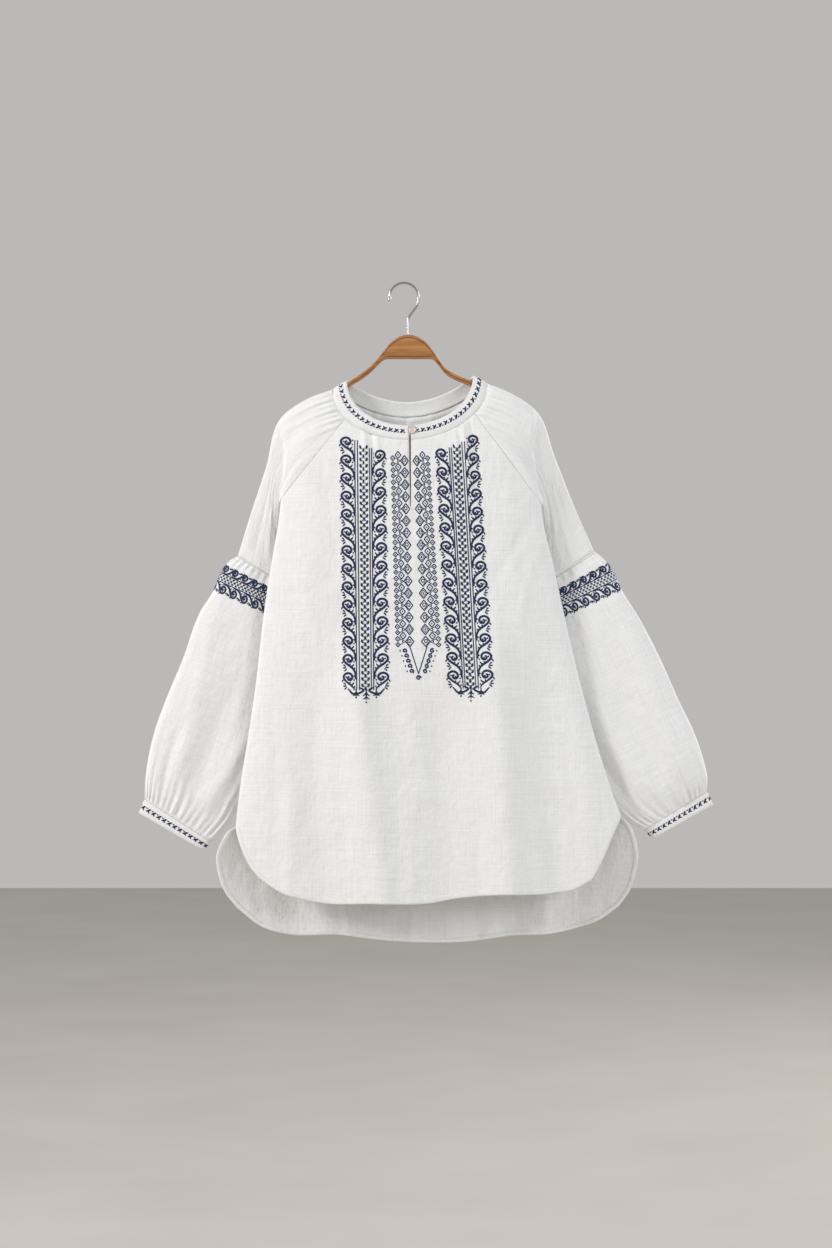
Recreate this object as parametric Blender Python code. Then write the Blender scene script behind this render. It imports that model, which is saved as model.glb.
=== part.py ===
"""Embroidered peasant blouse hanging on a wooden hanger.

Raglan sleeves, gathered balloon lower sleeves, narrow neckband with a short
slit and one button, and a shirt-tail hem that is longer at the back.
All tables are in millimetres.  The origin is the inside top of the hanger's
hook, +Z is up and the garment's front looks along -Y.
"""
import math

import bmesh
import bpy
import numpy as np

MM = 0.001
SEAM_GAP = 0.3
CLOTH_WALL = 1.0
BAND_WALL = 1.6

# Body sections from the shoulders down: side edges, their depth, and how far
# the front and the back stand away from the plane of the side edges
BODY_COLUMNS = ("z", "left", "right", "edge_y", "front", "back")
BODY = (
    (-130, -184, 197, 0, 7, 11),
    (-200, -184, 197, -1, 16, 14),
    (-240, -180, 194, -3, 23, 16),
    (-312, -183, 203, -6, 25, 16),
    (-366, -189, 210, -7, 26, 17),
    (-411, -197, 221, -8, 26, 18),
    (-497, -210, 240, -8, 27, 20),
    (-594, -221, 263, -8, 28, 22),
    (-690, -235, 289, -8, 29, 24),
    (-760, -246, 311, -8, 30, 26),
    (-815, -252, 331, -8, 30, 26),
    (-1000, -268, 350, -8, 31, 26),
)
FRONT_ROUNDING = 0.48
BACK_ROUNDING = 0.75

# Soft vertical folds: a straight crest line, half width, and height (a trough is below 0)
FOLD_COLUMNS = ("top_x", "top_z", "bottom_x", "bottom_z", "half_width", "height")
FRONT_FOLDS = (
    (-78, -560, -30, -925, 32, 9),
    (132, -500, 160, -925, 34, 9),
    (-136, -600, -118, -925, 30, -6),
    (55, -640, 72, -925, 36, -6),
    (212, -560, 236, -925, 34, -7),
    (-150, -250, -141, -480, 30, 4),
    (150, -280, 176, -520, 24, 3),
)
BACK_FOLDS = (
    (-40, -560, -34, -990, 32, 8),
    (160, -520, 161, -990, 30, 9),
    (-150, -560, -168, -990, 34, 6),
    (60, -560, 62, -990, 38, -7),
    (238, -600, 266, -990, 30, 6),
)
FOLD_GROWTH = 150.0

# Underarm and vent marks on each side, and the point that bends the back raglan seam
UNDERARM_Z = {-1: -324.0, 1: -330.0}
VENT_Z = {-1: -814.5, 1: -797.5}
BACK_RAGLAN_BEND = {-1: (-134.0, -290.0), 1: (158.0, -292.0)}

# Vent edges from the top of the vent to the corner of each tail
FRONT_VENT = {
    -1: ((-247, -833), (-240, -852), (-229, -873), (-215, -889)),
    1: ((318, -812), (309, -832), (298, -858), (280, -891)),
}
BACK_VENT = {
    -1: ((-262, -819), (-273, -836), (-281, -857), (-279, -882), (-270, -910), (-250, -937)),
    1: ((340, -814), (347, -833), (351, -858), (347, -884), (338, -911), (322, -934)),
}

# Hems from the left corner to the right corner
# Hem points: x, z
FRONT_HEM = (
    (-215, -889), (-183, -910), (-152, -920), (-119, -926), (-42, -925),
    (39, -925), (81, -918), (144, -912), (218, -911), (255, -905), (280, -891),
)
BACK_HEM = (
    (-250, -937), (-211, -967), (-183, -976), (-95, -979), (-31, -988), (39, -990),
    (102, -988), (159, -981), (235, -974), (262, -967), (290, -957), (322, -934),
)

# Neck: half width, height of its sides, drop at the front and drop at the back
NECK_CENTRE_X = 9.0
NECK_TILT = 0.038
SEAM_LOOP = (116.0, -154.0, 81.0, 45.0)
TOP_LOOP = (94.5, -141.5, 72.0, 34.5)
FRONT_HEAD_TURN = math.radians(34)
BACK_HEAD_TURN = math.radians(45)
BAND_LEAN = 0.9
SLIT_LENGTH = 100.0
SLIT_GAP = (5.0, 1.4)

# Upper sleeve rings from the neck to the elbow seam.  The first ring's outer end is on the neck seam
SLEEVE_COLUMNS = (
    "outer_x", "outer_z", "inner_x", "inner_z", "mid_y", "front_outer", "front_inner", "back",
)
UPPER_SLEEVE = {
    -1: (
        (-107, -158.4, -184.4, -324, 0, 11, 6, 11),
        (-144, -172, -186.6, -335, 1.5, 11, 7, 14),
        (-184, -200, -188.6, -358, 5.5, 11, 7, 14),
        (-208, -277, -189.5, -392, 12.5, 11, 7, 14),
        (-231, -346, -181, -425, 17, 11, 10, 13),
        (-250, -408, -170, -456, 17, 11, 11, 13),
    ),
    1: (
        (125, -149.6, 205.4, -330, 0, 11, 6, 11),
        (160, -164, 207.8, -341, 1.5, 11, 7, 14),
        (199, -191, 210.3, -364, 5.5, 11, 7, 14),
        (227, -260, 212.5, -397, 12.5, 11, 7, 14),
        (255, -331, 206, -430, 17, 11, 10, 13),
        (286, -401, 196, -461, 17, 11, 11, 13),
    ),
}
UPPER_STEPS = (0, 0.06, 0.12, 0.19, 0.28, 0.42, 0.6, 0.8, 1)
OVAL_REACH = 0.8
SEAM_HOLD = 0.5

# How far the lower rings swing away from the body, by their place along the sleeve
LEAVE_RISE = 8
LEAVE_END_STEP = 18
LEAVE_END_SPAN = 2.4
LEAVE_END_SHARE = 0.85
SEAM_LEAVE_PLACES = (0, 0.06, 0.12, 0.19, 0.28, 0.42, 0.6, 1)
SEAM_LEAVE = (0, 9.3, 10.3, 10.0, 7.5, 3.9, 1.4, 0)
UNDERARM_EASE = (1.2, 0.8, 0.4)
HANGER_CLEAR_Z = (-260.0, -200.0)
DEPTH_REACH = (0.3, 0.14)
BACK_DEPTH_REACH = 0.07
SLEEVE_ROUNDING = 0.45
INNER_SHARPNESS = 0.1
SHOULDER_ROUNDING = 0.45
RIDGE_WIDTH = 9.0
RIDGE_FADE = 14.0
HEAD_PLEAT_HEIGHT = 2.4
HEAD_PLEAT_LENGTH = 0.34

# Lower sleeve rings from the elbow seam to the cuff seam
LOWER_SLEEVE = {
    -1: (
        (-250, -408, -170, -456, 17, 11, 11, 13),
        (-262, -415, -164, -468, 17, 15, 12, 17),
        (-274, -430, -161, -484, 17, 18, 12, 19),
        (-286, -459, -163, -514, 17, 20, 12, 20),
        (-306, -491, -171, -556, 17, 21, 12, 21),
        (-333, -564, -186, -631, 17, 23, 12, 23),
        (-356, -619, -201, -691, 17, 24, 12, 24),
        (-373, -665, -219, -737, 17, 24, 13, 24),
        (-384, -711, -246, -782, 17, 22, 13, 22),
        (-389, -751, -266, -812, 17, 15, 10, 15),
        (-390, -774, -291, -838, 17, 6, 6, 6),
    ),
    1: (
        (286, -401, 196, -461, 17, 11, 11, 13),
        (299, -411, 192, -473, 17, 15, 12, 17),
        (312, -427, 191, -488, 17, 18, 12, 19),
        (327, -458, 196, -520, 17, 20, 12, 20),
        (354, -502, 207, -566, 17, 21, 12, 21),
        (386, -564, 228, -631, 17, 23, 12, 23),
        (413, -625, 254, -696, 17, 24, 12, 24),
        (436, -673, 284, -741, 17, 24, 13, 24),
        (450, -714, 316, -790, 17, 22, 13, 22),
        (456, -741, 339, -809, 17, 15, 10, 15),
        (455, -762, 362, -820, 17, 6, 6, 6),
    ),
}
LOWER_STEPS = (0, 0.03, 0.08, 0.16, 0.28, 0.42, 0.56, 0.7, 0.83, 0.93, 1)
GATHER_WAVES = 16
ELBOW_GATHER = (2.2, 0.1)
CUFF_GATHER = (3.0, 0.3)

# Cuff: lower ends of the band; its upper ends are the sleeve's last ring
CUFF_END = {-1: (-399, -795, -304, -850), 1: (465, -782, 376, -833)}
CUFF_DEPTH = 6.0
CUFF_WALL = 1.6

# Counts of points
COLUMNS = 24
HEAD_STEPS = 8
RAGLAN_STEPS = 12
SIDE_STEPS = 9
VENT_STEPS = 4
GATHERED_POINTS = 4 * GATHER_WAVES
CUFF_POINTS = 32
HALF_RING = HEAD_STEPS + RAGLAN_STEPS

# Cells left open behind the underarm, by row and column of the upper sleeve
UNDERARM_OPENING = {(row, HALF_RING + column) for row in (0, 1, 2) for column in (0, 1)}

# Button
BUTTON_RADIUS = 5.7
BUTTON_THICKNESS = 2.4
BUTTON_TURN = math.radians(88)
BUTTON_UP_BAND = 0.66
BUTTON_SIDES = 18

# Hanger: visible arms and head, top and bottom edge and thickness at each x
# Hanger rows: x, top z, bottom z, thickness
HANGER_MIDDLE = (
    (-107, -165.5, -173, 7),
    (-96, -159, -166.5, 7.5),
    (-84, -150.5, -158.5, 7.5),
    (-69, -138.5, -147, 8.5),
    (-50, -122.5, -132, 10),
    (-40, -115, -125, 10),
    (-34, -106, -117, 11),
    (-30, -97, -113.3, 12),
    (-20, -86, -113.3, 12),
    (-8, -79, -113.3, 12),
    (6, -76, -113.3, 12),
    (20, -78.5, -113, 12),
    (33, -85.5, -113, 12),
    (43, -96, -113, 12),
    (50, -110, -118, 11),
    (61, -122, -133, 10),
    (81, -135, -144, 8.5),
    (102, -145, -153, 7.5),
    (114, -152, -159.5, 7.5),
    (125, -157, -164.5, 7),
)

# Arms under the shoulders: place along the sleeve's top, depth under it, height and thickness
# Hidden arm rows: place along the sleeve, seat under its outer edge, height, thickness
HIDDEN_ARM = (
    (0.1, 6.6, 7.0, 4.6),
    (0.15, 6.0, 6.5, 4.0),
    (0.2, 5.6, 6.0, 3.6),
)
HANGER_SIDES = 12

# Hook wire
WIRE_RADIUS = 1.75
HOOK_RADIUS = 20.0
HOOK_NECK = ((20.5, -28.5), (17.5, -35.5), (11.5, -43.5), (6.8, -50.5), (5.6, -58.0))
HOOK_ARC_STEPS = 13
HOOK_TIP = ((-6.0, 0.9), (-3.8, 1.5), (-1.5, 1.55), (0.5, 1.0))

LINEN_COLOUR = (0.86, 0.855, 0.83, 1)
PEARL_COLOUR = (0.86, 0.76, 0.7, 1)
WOOD_COLOUR = (0.52, 0.22, 0.07, 1)
STEEL_COLOUR = (0.62, 0.62, 0.64, 1)


def clear_scene():
    for item in list(bpy.data.objects):
        bpy.data.objects.remove(item, do_unlink=True)


def make_material(name, colour, roughness, metallic=0.0):
    material = bpy.data.materials.new(name)
    material.use_nodes = True
    shader = material.node_tree.nodes["Principled BSDF"]
    shader.inputs["Base Color"].default_value = colour
    shader.inputs["Roughness"].default_value = roughness
    shader.inputs["Metallic"].default_value = metallic
    return material


def smooth_step(value):
    value = np.clip(value, 0.0, 1.0)
    return value * value * (3.0 - 2.0 * value)


def smooth_between(keys, values, at):
    """Smooth curve through a table's values; keys rise."""
    keys = np.asarray(keys, float)
    values = np.asarray(values, float)
    slopes = np.gradient(values, keys, axis=0)
    at = float(np.clip(at, keys[0], keys[-1]))
    k = int(np.clip(np.searchsorted(keys, at) - 1, 0, len(keys) - 2))
    span = keys[k + 1] - keys[k]
    f = (at - keys[k]) / span
    rise = f * f * (3 - 2 * f)
    start = values[k] * (1 - rise) + values[k + 1] * rise
    bend = slopes[k] * (f - 2 * f * f + f**3) + slopes[k + 1] * (f**3 - f * f)
    return start + bend * span


def along_path(points, fraction):
    """Point at a fraction of the length of a chain of points."""
    points = np.asarray(points, float)
    steps = np.linalg.norm(np.diff(points, axis=0), axis=1)
    reach = np.concatenate(([0.0], np.cumsum(steps)))
    return smooth_between(reach, points, fraction * reach[-1])


BODY_TABLE = np.array(BODY[::-1], float)


def body_row(z):
    return dict(zip(BODY_COLUMNS, smooth_between(BODY_TABLE[:, 0], BODY_TABLE, z)))


def body_edge(side, z):
    return body_row(z)["left" if side < 0 else "right"]


def fold_height(folds, x, z):
    height = 0.0
    for fold in folds:
        row = dict(zip(FOLD_COLUMNS, fold))
        fraction = (row["top_z"] - z) / (row["top_z"] - row["bottom_z"])
        crest = row["top_x"] + (row["bottom_x"] - row["top_x"]) * fraction
        growth = smooth_step((row["top_z"] + FOLD_GROWTH / 2 - z) / FOLD_GROWTH)
        fade = 1 - smooth_step((row["bottom_z"] - z) / FOLD_GROWTH)
        height += row["height"] * growth * fade * math.exp(-(((x - crest) / row["half_width"]) ** 2))
    return height


def across(x, left, right):
    """How far x lies from the middle of a section: -1 and 1 are its side edges."""
    return float(np.clip((2 * x - left - right) / (right - left), -1, 1))


def front_y(x, z):
    row = body_row(z)
    t = across(x, row["left"], row["right"])
    swell = (1 - t * t) ** FRONT_ROUNDING
    return row["edge_y"] - row["front"] * swell - fold_height(FRONT_FOLDS, x, z) * (1 - t**4)


def back_edges(z):
    """Side edges of the back; below the vents they spread as the tail does."""
    edges = []
    for side in (-1, 1):
        tail = [(body_edge(side, VENT_Z[side]), VENT_Z[side])] + list(BACK_VENT[side][:3])
        heights = [point[1] for point in tail][::-1]
        places = [point[0] for point in tail][::-1]
        edges.append(body_edge(side, z) if z > VENT_Z[side] else float(np.interp(z, heights, places)))
    return edges


def back_y(x, z):
    row = body_row(z)
    left, right = back_edges(z)
    t = across(x, left, right)
    swell = (1 - t * t) ** BACK_ROUNDING
    settle = 8.0 * smooth_step((-815.0 - z) / 70.0)
    return row["edge_y"] + settle + row["back"] * swell + fold_height(BACK_FOLDS, x, z) * (1 - t**4)


def neck_point(loop, side, turn, back=False):
    """Point of a neck loop; turn runs from 0 at the side to a quarter turn at the middle."""
    half, side_z, front_drop, back_drop = loop
    x = NECK_CENTRE_X + side * half * math.cos(turn)
    drop = back_drop * math.sin(turn) ** 2 if back else front_drop * math.sin(turn)
    z = side_z - drop + (x - NECK_CENTRE_X) * NECK_TILT
    return x, z


def seam_point(side, turn, back=False):
    """Point of the neck seam, which lies on the body and closes over each shoulder."""
    head_turn = BACK_HEAD_TURN if back else FRONT_HEAD_TURN
    surface = back_y if back else front_y
    x, z = neck_point(SEAM_LOOP, side, turn, back)
    if turn >= head_turn:
        return np.array((x, surface(x, z), z))
    at_head = surface(*neck_point(SEAM_LOOP, side, head_turn, back))
    return np.array((x, at_head * (math.sin(turn) / math.sin(head_turn)) ** SHOULDER_ROUNDING, z))


def underarm(side):
    return np.array((body_edge(side, UNDERARM_Z[side]), UNDERARM_Z[side]))


def front_raglan(side):
    """Straight front raglan seam, from the gathers at the neck to the underarm."""
    head = np.array(neck_point(SEAM_LOOP, side, FRONT_HEAD_TURN))
    end = underarm(side)
    return [tuple(head + (end - head) * k / RAGLAN_STEPS) for k in range(RAGLAN_STEPS + 1)]


def back_raglan(side):
    """Back raglan seam, scooped so that the armhole opens above the underarm."""
    start = np.array(neck_point(SEAM_LOOP, side, BACK_HEAD_TURN, True))
    bend = np.array(BACK_RAGLAN_BEND[side])
    points = []
    for k in range(RAGLAN_STEPS + 1):
        f = k / RAGLAN_STEPS
        points.append(tuple((1 - f) ** 2 * start + 2 * f * (1 - f) * bend + f * f * underarm(side)))
    return points


def side_seam(side):
    points = []
    for k in range(1, SIDE_STEPS + 1):
        z = UNDERARM_Z[side] + (VENT_Z[side] - UNDERARM_Z[side]) * k / SIDE_STEPS
        points.append((body_edge(side, z), z))
    return points


def vent_edge(side, corner_points):
    start = (body_edge(side, VENT_Z[side]), VENT_Z[side])
    chain = [start] + list(corner_points)
    return [tuple(along_path(chain, k / VENT_STEPS)) for k in range(1, VENT_STEPS + 1)]


def column_places():
    """Columns across a panel, closer together near its side edges."""
    even = np.linspace(0, 1, COLUMNS + 1)
    return 0.45 * even + 0.55 * (1 - np.cos(math.pi * even)) / 2


def panel_grid(back):
    """A body panel: its four edges are blended, then every point is set on the body's surface."""
    raglan = back_raglan if back else front_raglan
    vents = BACK_VENT if back else FRONT_VENT
    surface = back_y if back else front_y
    head_turn = BACK_HEAD_TURN if back else FRONT_HEAD_TURN
    sides = {s: np.array(raglan(s) + side_seam(s) + vent_edge(s, vents[s])) for s in (-1, 1)}
    rows = len(sides[-1])
    places = column_places()
    top = []
    for u in places:
        turn = head_turn + (math.pi / 2 - head_turn) * (1 - abs(2 * u - 1))
        top.append(neck_point(SEAM_LOOP, -1 if u < 0.5 else 1, turn, back))
    hem = [along_path(BACK_HEM if back else FRONT_HEM, u) for u in places]
    middle = (sides[-1][:, 1] + sides[1][:, 1]) / 2
    falls = (middle[0] - middle) / (middle[0] - middle[-1])
    top = np.array(top)
    hem = np.array(hem)
    grid = np.zeros((rows, COLUMNS + 1, 3))
    for j, v in enumerate(falls):
        for i, u in enumerate(places):
            edges = (1 - v) * top[i] + v * hem[i] + (1 - u) * sides[-1][j] + u * sides[1][j]
            corners = (1 - u) * ((1 - v) * top[0] + v * hem[0]) + u * ((1 - v) * top[-1] + v * hem[-1])
            x, z = edges - corners
            grid[j, i] = (x, surface(x, z), z)
    return grid


def slit_halves(grid):
    """The front is cut down its middle column to the foot of the slit."""
    middle = COLUMNS // 2
    lengths = grid[0, middle, 2] - grid[:, middle, 2]
    foot = int(np.argmin(abs(lengths - SLIT_LENGTH)))
    left = grid[:, : middle + 1].copy()
    right = grid[:, middle:].copy()
    for j in range(foot):
        half = (SLIT_GAP[0] + (SLIT_GAP[1] - SLIT_GAP[0]) * j / foot) / 2
        left[j, -1, 0] -= half
        right[j, 0, 0] += half
    return left, right


def armhole_loop(side):
    """Closed seam of a raglan sleeve: neck side, front raglan, underarm, back raglan."""
    front = [seam_point(side, FRONT_HEAD_TURN * k / HEAD_STEPS) for k in range(HEAD_STEPS)]
    front += [np.array((x, front_y(x, z), z)) for x, z in front_raglan(side)]
    back = [seam_point(side, BACK_HEAD_TURN * k / HEAD_STEPS, True) for k in range(1, HEAD_STEPS)]
    back += [np.array((x, back_y(x, z), z)) for x, z in back_raglan(side)[:-1]]
    return np.array(front + back[::-1])


def station(table, fraction):
    """Sleeve ring values at a fraction of the way along the sleeve's outer edge."""
    rows = np.array(table, float)
    steps = np.linalg.norm(np.diff(rows[:, :2], axis=0), axis=1)
    reach = np.concatenate(([0.0], np.cumsum(steps)))
    return dict(zip(SLEEVE_COLUMNS, smooth_between(reach, rows, fraction * reach[-1])))


def oval_reach(count):
    """How far each point of an oval lies from its outer edge towards its inner edge."""
    return (1 - np.cos(2 * math.pi * np.arange(count) / count)) / 2


def ring(row, reach):
    """Flat oval ring of a sleeve: its plane holds the line from outer to inner edge and the Y axis."""
    turns = 2 * math.pi * np.arange(len(reach)) / len(reach)
    x = row["outer_x"] + (row["inner_x"] - row["outer_x"]) * reach
    z = row["outer_z"] + (row["inner_z"] - row["outer_z"]) * reach
    swell = abs(np.sin(turns)) ** (SLEEVE_ROUNDING + INNER_SHARPNESS * reach)
    front_depth = row["front_outer"] + (row["front_inner"] - row["front_outer"]) * reach
    y = row["mid_y"] + np.where(turns <= math.pi, -front_depth, row["back"]) * swell
    return np.stack((x, y, z), axis=1)


def on_body(side, x, z):
    """1 where the sleeve's front lies on the body, 0 past the ridge, where it drops behind."""
    inside = side * (body_edge(side, z) - x)
    above = z - UNDERARM_Z[side]
    return float(smooth_step(inside / RIDGE_WIDTH + 0.5) * smooth_step(above / RIDGE_FADE))


def lying_y(row, x, z):
    """Depth of the sleeve's front where it lies on the body; it clears the hanger over the shoulder."""
    on_front = front_y(x, z)
    over_hanger = float(smooth_step((z - HANGER_CLEAR_Z[0]) / (HANGER_CLEAR_Z[1] - HANGER_CLEAR_Z[0])))
    return on_front + (min(on_front, -row["front_outer"]) - on_front) * over_hanger


def upper_sleeve_grid(side):
    """Rings leave the armhole seam and turn into the sleeve's flat ovals."""
    loop = armhole_loop(side)
    table = UPPER_SLEEVE[side]
    count = 2 * HALF_RING
    chord = loop[HALF_RING] - loop[0]
    chord[1] = 0
    loop_reach = np.clip((loop - loop[0]) @ chord / (chord @ chord), 0, 1)
    first = ring(station(table, 0), loop_reach)
    from_top = np.minimum(np.arange(count), count - np.arange(count))
    swell = np.sin(from_top * math.pi / HALF_RING) ** SLEEVE_ROUNDING
    low_share = smooth_step((from_top - HEAD_STEPS) / RAGLAN_STEPS)
    leave_share = smooth_step((from_top - HEAD_STEPS) / LEAVE_RISE)
    leave_share *= 1 - LEAVE_END_SHARE * smooth_step((from_top - LEAVE_END_STEP) / LEAVE_END_SPAN)
    leaving = leave_direction(side) * leave_share[:, None]
    low_reach = np.where(np.arange(count) > HALF_RING, BACK_DEPTH_REACH, DEPTH_REACH[1])
    depth_reach = DEPTH_REACH[0] + (low_reach - DEPTH_REACH[0]) * low_share
    rows = []
    for fraction in UPPER_STEPS:
        row = station(table, fraction)
        turned = smooth_step(fraction / OVAL_REACH)
        points = ring(row, loop_reach * (1 - turned) + oval_reach(count) * turned)
        hold = 1 - smooth_step(fraction / SEAM_HOLD)
        points[:, ::2] += hold * (loop - first)[:, ::2]
        points[:, ::2] += leaving * np.interp(fraction, SEAM_LEAVE_PLACES, SEAM_LEAVE)
        for k in range(1, HALF_RING):
            x, y, z = points[k]
            lying = row["mid_y"] * (1 - swell[k]) + lying_y(row, x, z) * swell[k]
            points[k, 1] = y + (lying - y) * on_body(side, x, z)
        keep = 1 - smooth_step(fraction / depth_reach)
        points[:, 1] += (loop[:, 1] - points[:, 1]) * keep
        for k in range(1, HEAD_STEPS + 2):
            wave = -math.cos(math.pi * k) * math.sin(math.pi * k / (HEAD_STEPS + 2))
            points[k, 1] -= head_pleat(fraction) * wave
            points[-k, 1] += head_pleat(fraction) * wave
        rows.append(points)
    rows[0][HALF_RING] += np.array(UNDERARM_EASE) * (side, 1, 1)
    return np.array(rows)


def leave_direction(side):
    """Unit vector in X and Z, square to the front raglan seam and away from the body."""
    along = underarm(side) - np.array(neck_point(SEAM_LOOP, side, FRONT_HEAD_TURN))
    return np.array((side * abs(along[1]), abs(along[0]))) / np.linalg.norm(along)


def head_pleat(fraction):
    """Pleats rise from the neck seam and die away over the shoulder."""
    rise = smooth_step(fraction / (0.2 * HEAD_PLEAT_LENGTH))
    return HEAD_PLEAT_HEIGHT * rise * (1 - smooth_step(fraction / HEAD_PLEAT_LENGTH))


def outward(points):
    """Unit vectors that point out of a ring, in the ring's own plane."""
    ahead = np.roll(points, -1, axis=0) - np.roll(points, 1, axis=0)
    chord = points[len(points) // 2] - points[0]
    axis = np.cross(chord, (0.0, 1.0, 0.0))
    out = np.cross(ahead, axis)
    out /= np.linalg.norm(out, axis=1)[:, None]
    away = np.einsum("ij,ij->i", out, points - points.mean(axis=0))
    return out * np.sign(away.sum())


def gathers(fraction):
    """Height of the gathers at a fraction of the lower sleeve."""
    top_height, top_length = ELBOW_GATHER
    end_height, end_length = CUFF_GATHER
    rest = 1 - fraction
    top = top_height * smooth_step(fraction / 0.02) * (1 - smooth_step(fraction / top_length))
    end = end_height * smooth_step(rest / 0.04) * (1 - smooth_step(rest / end_length))
    return top + end


def lower_sleeve_grid(side):
    rows = []
    wave_turns = 2 * math.pi * np.arange(GATHERED_POINTS) / 4
    unevenness = 0.75 + 0.25 * np.sin(2.3 * (np.arange(GATHERED_POINTS) // 4) + side)
    edge_fade = abs(np.sin(2 * math.pi * np.arange(GATHERED_POINTS) / GATHERED_POINTS)) ** 0.6
    for fraction in LOWER_STEPS:
        points = ring(station(LOWER_SLEEVE[side], fraction), oval_reach(GATHERED_POINTS))
        wave = np.cos(wave_turns) * unevenness * edge_fade * gathers(fraction)
        rows.append(points + outward(points) * wave[:, None])
    return np.array(rows)


def cuff_grid(side):
    top = dict(zip(SLEEVE_COLUMNS, LOWER_SLEEVE[side][-1]))
    end = dict(top, **dict(zip(SLEEVE_COLUMNS, CUFF_END[side])))
    rows = []
    for fraction in (0, 0.5, 1):
        row = {name: top[name] + (end[name] - top[name]) * fraction for name in SLEEVE_COLUMNS}
        row.update(front_outer=CUFF_DEPTH, front_inner=CUFF_DEPTH, back=CUFF_DEPTH)
        rows.append(ring(row, oval_reach(CUFF_POINTS)))
    return np.array(rows)


def neckband_grid():
    """Band from the neck seam to its top edge, open at the middle of the front."""
    half = COLUMNS // 2
    shares = 1 - abs(2 * column_places()[: half + 1] - 1)
    front_turns = [FRONT_HEAD_TURN + (math.pi / 2 - FRONT_HEAD_TURN) * s for s in shares]
    back_turns = [BACK_HEAD_TURN + (math.pi / 2 - BACK_HEAD_TURN) * s for s in shares]
    front_head = [FRONT_HEAD_TURN * k / HEAD_STEPS for k in range(HEAD_STEPS)]
    back_head = [BACK_HEAD_TURN * k / HEAD_STEPS for k in range(1, HEAD_STEPS)]
    side_turns = [(t, False) for t in front_turns[::-1]] + [(t, False) for t in front_head[::-1]]
    side_turns += [(t, True) for t in back_head] + [(t, True) for t in back_turns]
    places = [(-1, t, back) for t, back in side_turns]
    places += [(1, t, back) for t, back in side_turns[-2::-1]]
    columns = []
    for number, (side, turn, back) in enumerate(places):
        low = seam_point(side, turn, back)
        x, z = neck_point(TOP_LOOP, side, turn, back)
        high = np.array((x, low[1] * BAND_LEAN, z))
        if number in (0, len(places) - 1):
            low[0] += side * SLIT_GAP[0] / 2
            high[0] += side * SLIT_GAP[0] / 2
        columns.append([low, (low + high) / 2, high])
    return np.array(columns).transpose(1, 0, 2)


def grid_quads(rows, columns, closed, flip, left_open=()):
    quads = []
    for j in range(rows - 1):
        for i in range(columns if closed else columns - 1):
            if (j, i) in left_open:
                continue
            k = (i + 1) % columns
            quad = (j * columns + i, j * columns + k, (j + 1) * columns + k, (j + 1) * columns + i)
            quads.append(quad[::-1] if flip else quad)
    return quads


def weld(pieces):
    """Give points that lie on each other one number, so that seams match on both sides."""
    numbers = {}
    places = []
    welded = {}
    for name, sheets in pieces.items():
        faces = []
        for grid, closed, flip, left_open in sheets:
            rows, columns = grid.shape[:2]
            own = []
            for point in grid.reshape(-1, 3):
                key = tuple(np.round(point, 2))
                if key not in numbers:
                    numbers[key] = len(places)
                    places.append(point)
                own.append(numbers[key])
            for quad in grid_quads(rows, columns, closed, flip, left_open):
                face = [own[n] for n in quad]
                if len(set(face)) == 4:
                    faces.append(face)
        welded[name] = faces
    return np.array(places), welded


def point_normals(places, faces):
    normals = np.zeros_like(places)
    for face in faces:
        a, b, c, d = places[face]
        normals[face] += np.cross(c - a, d - b)
    lengths = np.linalg.norm(normals, axis=1)
    return normals / np.maximum(lengths, 1e-9)[:, None]


def border_edges(faces):
    edges = {(face[k], face[(k + 1) % 4]) for face in faces for k in range(4)}
    return [edge for edge in edges if edge[::-1] not in edges]


def seam_shifts(places, normals, edges, seam_points):
    """Half the seam's gap, into the piece, for each point that lies on a seam."""
    inward = {}
    for a, b in edges:
        for point in (a, b):
            if point in seam_points:
                direction = np.cross(normals[point], places[b] - places[a])
                inward.setdefault(point, []).append(direction / np.linalg.norm(direction))
    shifts = np.zeros_like(places)
    for point, directions in inward.items():
        total = sum(directions)
        spread = 1 + float(np.dot(directions[0], directions[-1]))
        shifts[point] = total / max(spread, 0.5) * SEAM_GAP / 2
    return shifts


def split_quad(places, face):
    """Two triangles on the quad's shorter diagonal, the same in both skins of a wall."""
    a, b, c, d = face
    if np.linalg.norm(places[a] - places[c]) <= np.linalg.norm(places[b] - places[d]):
        return (a, b, c), (a, c, d)
    return (a, b, d), (b, c, d)


def make_object(name, corners, faces, material):
    mesh = bpy.data.meshes.new(name)
    mesh.from_pydata([tuple(corner * MM) for corner in corners], [], faces)
    mesh.materials.append(material)
    mesh.shade_smooth()
    item = bpy.data.objects.new(name, mesh)
    bpy.context.scene.collection.objects.link(item)
    return item


def wall_object(name, places, normals, faces, seam_points, wall, material):
    """Closed wall: an outer skin, an inner skin and a rim."""
    edges = border_edges(faces)
    middle = places + seam_shifts(places, normals, edges, seam_points)
    used = sorted({n for face in faces for n in face})
    order = {n: k for k, n in enumerate(used)}
    outer = middle[used] + normals[used] * wall / 2
    inner = middle[used] - normals[used] * wall / 2
    count = len(used)
    halves = [half for face in faces for half in split_quad(places, face)]
    skins = [[order[n] for n in half] for half in halves]
    skins += [[order[n] + count for n in half[::-1]] for half in halves]
    skins += [[order[b], order[a], order[a] + count, order[b] + count] for a, b in edges]
    item = make_object(name, np.concatenate((outer, inner)), skins, material)
    item.data.set_sharp_from_angle(angle=math.radians(50))
    return item


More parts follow.
